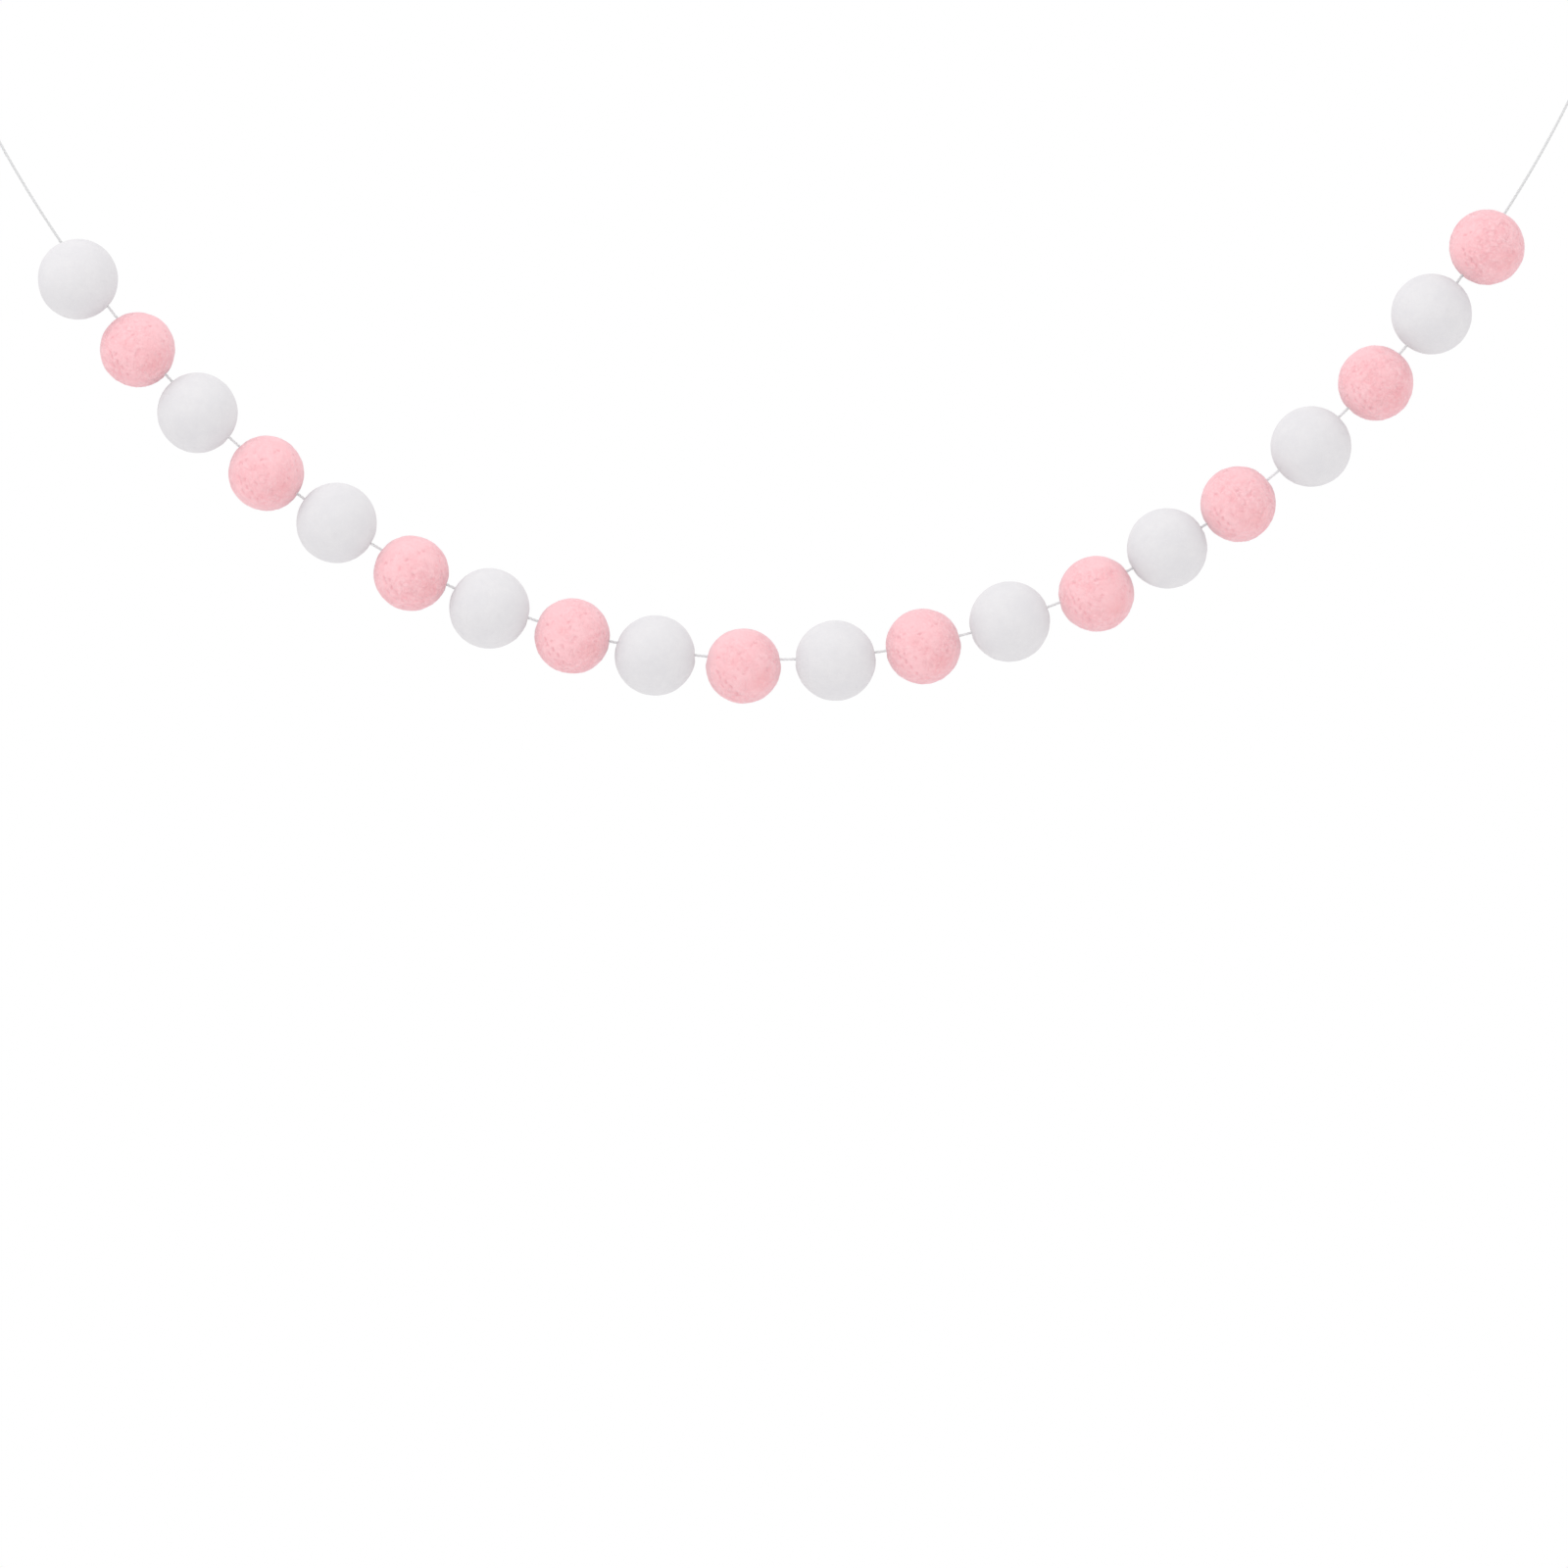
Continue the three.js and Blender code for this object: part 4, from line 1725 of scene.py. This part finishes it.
        # The felt is drawn in round the string and painted with shade there.
        for mouth in unit(ends):
            off = np.linalg.norm(ways - mouth, axis=1) * radius / self.pucker_reach
            drawn = np.exp(-(off**2))
            height -= self.pucker * drawn
            hollow = np.maximum(hollow, self.pucker_shade * drawn)
        surface = middle + ways * (radius + height)[:, None]
        felted = len(surface)
        points = np.concatenate([surface, self.bore(threaded, axis, counts[0])])
        values = np.zeros((len(points), len(skin.tints)))
        column = skin.tints.index
        values[:felted, column("hollow")] = hollow
        values[:felted, column("dense")] = self.density_and_shade(ways)
        values[:felted, column("nubby")] = rough
        # The lining of the hole is painted wholly in shade.
        values[felted:, column("hollow")] = 1.0
        starts = np.concatenate([[0], np.cumsum(counts)])
        rings = [np.arange(first, last) for first, last in zip(starts, starts[1:])]
        rings += [ring + felted for ring in even_rings(self.bore_rings, counts[0])]
        skin.add(points, ring_faces([*rings, rings[0]], FELT_SPOT), values)
        area = np.repeat(np.sin(polar) * np.gradient(polar) / counts, counts)
        roots = self.hair_roots(surface, area, middle + ends, rng)
        hairs = self.look.hairs
        hairs.grow(skin, surface[roots], ways[roots], radius, BALL_HAIR_SPOT, rng)

    def spread_out(
        self,
        polar: np.ndarray,
        counts: np.ndarray,
        start: np.ndarray,
        axis: np.ndarray,
        radius: float,
    ) -> np.ndarray:
        """Spreads the points of the ball's rings over its sphere, ring by ring along the string.

        Args:
            polar: each ring's angle from the string.
            counts: how many points each ring has.
            start: the point on the string that the angles are measured from.
            axis: the string's direction.
            radius: the sphere's radius.

        Returns:
            The outward direction of each point.
        """
        below = np.cross(BACK, axis)
        turns = np.concatenate([full_turn(count) for count in counts])
        lean = np.repeat(polar, counts)
        rays = (
            np.cos(lean)[:, None] * -axis
            + (np.sin(lean) * np.cos(turns))[:, None] * below
            + (np.sin(lean) * np.sin(turns))[:, None] * BACK
        )
        reach = -(rays @ start)
        reach += np.sqrt(reach**2 + radius**2 - start @ start)
        return unit(start + reach[:, None] * rays)

    def hair_roots(
        self, surface: np.ndarray, area: np.ndarray, mouths: np.ndarray, rng: np.random.Generator
    ) -> np.ndarray:
        """Chooses the points of the felt where its hairs start, none of them near the string.

        Args:
            surface: the felt's points.
            area: how much of the felt each point stands for.
            mouths: where the string enters and leaves.
            rng: the source of the choice.

        Returns:
            The numbers of the points.
        """
        count = self.look.hair_count
        roots = rng.choice(len(surface), ROOTS_DRAWN * count, p=area / area.sum())
        away = np.linalg.norm(surface[roots][:, None] - mouths[None], axis=2).min(1)
        return roots[away > ROOTS_CLEAR * self.pucker_reach][:count]

    def bore(self, threaded: Line, axis: np.ndarray, around: int) -> np.ndarray:
        """Lines the hole that the string goes through.

        Args:
            threaded: the string's line inside the ball.
            axis: the string's direction.
            around: how many points a ring has.

        Returns:
            The points of its rings, from where the string leaves back to where it enters.
        """
        share = np.linspace(1, 0, self.bore_rings + 2)[1:-1]
        middles = threaded.at(share * threaded.length)
        round_it = round_about(full_turn(around), np.cross(BACK, axis), BACK)
        return (middles[:, None] + self.mouth * round_it[None]).reshape(-1, 3)


# ---------------------------------------------------------------------------------------------
# The studio
# ---------------------------------------------------------------------------------------------


@dataclass
class Studio:
    """The camera, the light, the white surround and the pale floor. Sizes are in metres.

    Args:
        look_at: the middle of the picture, on the garland's own plane.
        view_width: how wide the picture is there.
        lens: the camera's focal length in millimetres.
        sensor: the width of its sensor in millimetres.
        key_offset: where the key light is from the middle of the garland.
        key_size: its width.
        key_power: its power in watts.
        key_colour: its colour.
        glow_colour: the colour of the light all round.
        glow: its strength.
        floor_drop: how far the floor is below the middle of the picture.
        floor_radius: how far the floor reaches.
        floor_around: how many points each of its rings has.
        floor_rows: how many rings it has.
        floor_inner: the innermost ring's radius, as a share of the floor's.
        floor_fade: where it starts and where it ends fading, as shares of its radius.
        floor_tones: its darkest and its palest tone.
        floor_grain: how many grains it has in a metre.
    """

    look_at: tuple[float, float, float] = (0.26395, 0.0, -0.24293)
    view_width: float = 0.4862
    lens: float = 200.0
    sensor: float = 36.0
    key_offset: tuple[float, float, float] = (-0.78, -0.72, 1.48)
    key_size: float = 1.3
    key_power: float = 6.8
    key_colour: Colour = (0.96, 0.98, 1.0)
    glow_colour: Colour = (1.0, 0.987, 0.998)
    glow: float = 1.035
    floor_drop: float = 0.42
    floor_radius: float = 2.0
    floor_around: int = 96
    floor_rows: int = 10
    floor_inner: float = 0.1
    floor_fade: tuple[float, float] = (0.5, 0.98)
    floor_tones: tuple[float, float] = (0.92, 0.95)
    floor_grain: float = 60.0

    def place_camera(self) -> None:
        """Sets the camera square on to the garland's plane, at the distance that fits its view."""
        data = bpy.data.cameras.new("camera")
        data.lens = self.lens
        data.sensor_width = self.sensor
        camera = bpy.data.objects.new("camera", data)
        x, y, z = self.look_at
        camera.location = (x, y - self.view_width * self.lens / self.sensor, z)
        camera.rotation_euler = (math.pi / 2, 0.0, 0.0)
        bpy.context.scene.collection.objects.link(camera)
        bpy.context.scene.camera = camera

    def light(self) -> None:
        """Adds the soft square key light and the light of the white room all round."""
        data = bpy.data.lights.new("key_light", "AREA")
        data.shape = "SQUARE"
        data.size = self.key_size
        data.energy = self.key_power
        data.color = self.key_colour
        light = bpy.data.objects.new("key_light", data)
        low, high = CAD_BOX
        light.location = (low + high) / 2 + Vector(self.key_offset)
        light.rotation_mode = "QUATERNION"
        light.rotation_quaternion = Vector(self.key_offset).to_track_quat("Z", "Y")
        bpy.context.scene.collection.objects.link(light)
        world = bpy.data.worlds.new("white_room")
        graph = Graph.blank(world)
        seen = graph.add("Background", {"Color": (1, 1, 1, 1), "Strength": 1.0})
        glow = graph.add(
            "Background", {"Color": opaque(self.glow_colour), "Strength": self.glow}
        )
        path = graph.add("LightPath")
        both = graph.add(
            "MixShader",
            {0: path.outputs["Is Camera Ray"], 1: glow.outputs[0], 2: seen.outputs[0]},
        )
        graph.add("OutputWorld", {"Surface": both.outputs[0]})
        bpy.context.scene.world = world
        bpy.context.scene.view_settings.view_transform = "Standard"

    @property
    def floor_middle(self) -> tuple[float, float, float]:
        """The middle of the floor, below the middle of the picture."""
        x, y, z = self.look_at
        return x, y, z - self.floor_drop

    def lay_floor(self) -> None:
        """Lays a round pale floor whose rim fades into the white surround."""
        x, y, z = self.floor_middle
        rows, around = self.floor_rows, self.floor_around
        turns = full_turn(around)
        radii = self.floor_radius * np.linspace(1.0, self.floor_inner, rows)[:, None]
        level = np.full((rows, around), z)
        rings = np.stack([x + radii * np.cos(turns), y + radii * np.sin(turns), level], -1)
        points = np.concatenate([rings.reshape(-1, 3), [[x, y, z]]])
        wheel = np.arange(around)
        inner = (rows - 1) * around
        middle = np.full(around, rows * around)
        hub = np.stack([middle, inner + wheel, inner + (wheel + 1) % around], -1)
        faces = ring_faces(even_rings(rows, around), WHOLE_MAP)
        skin = Skin(())
        skin.add(points, [*faces, (hub, np.zeros((around, 3, 2)))], np.zeros((len(points), 0)))
        floor = skin.build("floor", self.floor_finish())

    def floor_finish(self) -> bpy.types.Material:
        """Makes the floor's pale matte finish, clear at the rim."""
        material = bpy.data.materials.new("floor")
        graph = Graph.blank(material)
        place = graph.place()
        off = graph.distance(place, self.floor_middle)
        fade = graph.ramp(off, *(share * self.floor_radius for share in self.floor_fade))
        grain = graph.add(
            "TexNoise", {"Vector": place, "Scale": self.floor_grain, "Detail": 3.0}
        )
        tone = graph.mix(grain.outputs[0], *((grey,) * 3 for grey in self.floor_tones))
        matte = graph.add("BsdfDiffuse", {"Color": tone})
        clear = graph.add("BsdfTransparent")
        both = graph.add("MixShader", {0: fade, 1: matte.outputs[0], 2: clear.outputs[0]})
        graph.add("OutputMaterial", {"Surface": both.outputs[0]})
        return material


# ---------------------------------------------------------------------------------------------
# The garland
# ---------------------------------------------------------------------------------------------


# The balls that were threaded a quarter turn round from the others.
QUARTER_TURNED = ("white_ball_08", "white_ball_09", "white_ball_10")


@dataclass
class Garland:
    """The whole garland: its string, its end loops and its balls.

    Args:
        line_step: how fine the string's line is drawn, in metres.
        seed: what sets the random differences of all its pieces.
        first_seed: the seed of the first ball's own surface.
        pieces: its balls, as they are made.
    """

    line_step: float = 0.2 * MM
    seed: int = 7
    first_seed: int = 11
    pieces: list[bpy.types.Object] = field(default_factory=list)

    def build(self) -> None:
        tools = WoolTools(matted_fibres(), wool_tufts(), soft_patches())
        cotton = COTTON.material(tools)
        line = Line.through([(x, 0.0, z) for x, z in ROUTE], self.line_step)
        rng = np.random.default_rng(self.seed)
        string = String("string", line, Twine())
        threaded = string.build(cotton, rng)
        loops = [loop.build(cotton, rng) for loop in string.loops()]
        felts = {Felt.WHITE: WHITE_FELT.material(tools), Felt.PINK: PINK_FELT.material(tools)}
        names = sorted(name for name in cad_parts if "_ball_" in name)
        for place, name in enumerate(names):
            felt = Felt(name.split("_")[0])
            seed = self.first_seed + place
            ball = FeltBall(name, line, felt, seed, turned=name in QUARTER_TURNED)
            self.pieces.append(ball.build(felts[felt], rng))
        run = string.run()
        run.evenly(string.twine.step).points


def main() -> None:
    """Builds the garland and its studio, in order."""
    studio = Studio()
    studio.place_camera()
    Garland().build()
    studio.light()
    studio.lay_floor()
    log.info("the garland is ready")


if __name__ == "__main__":
    main()
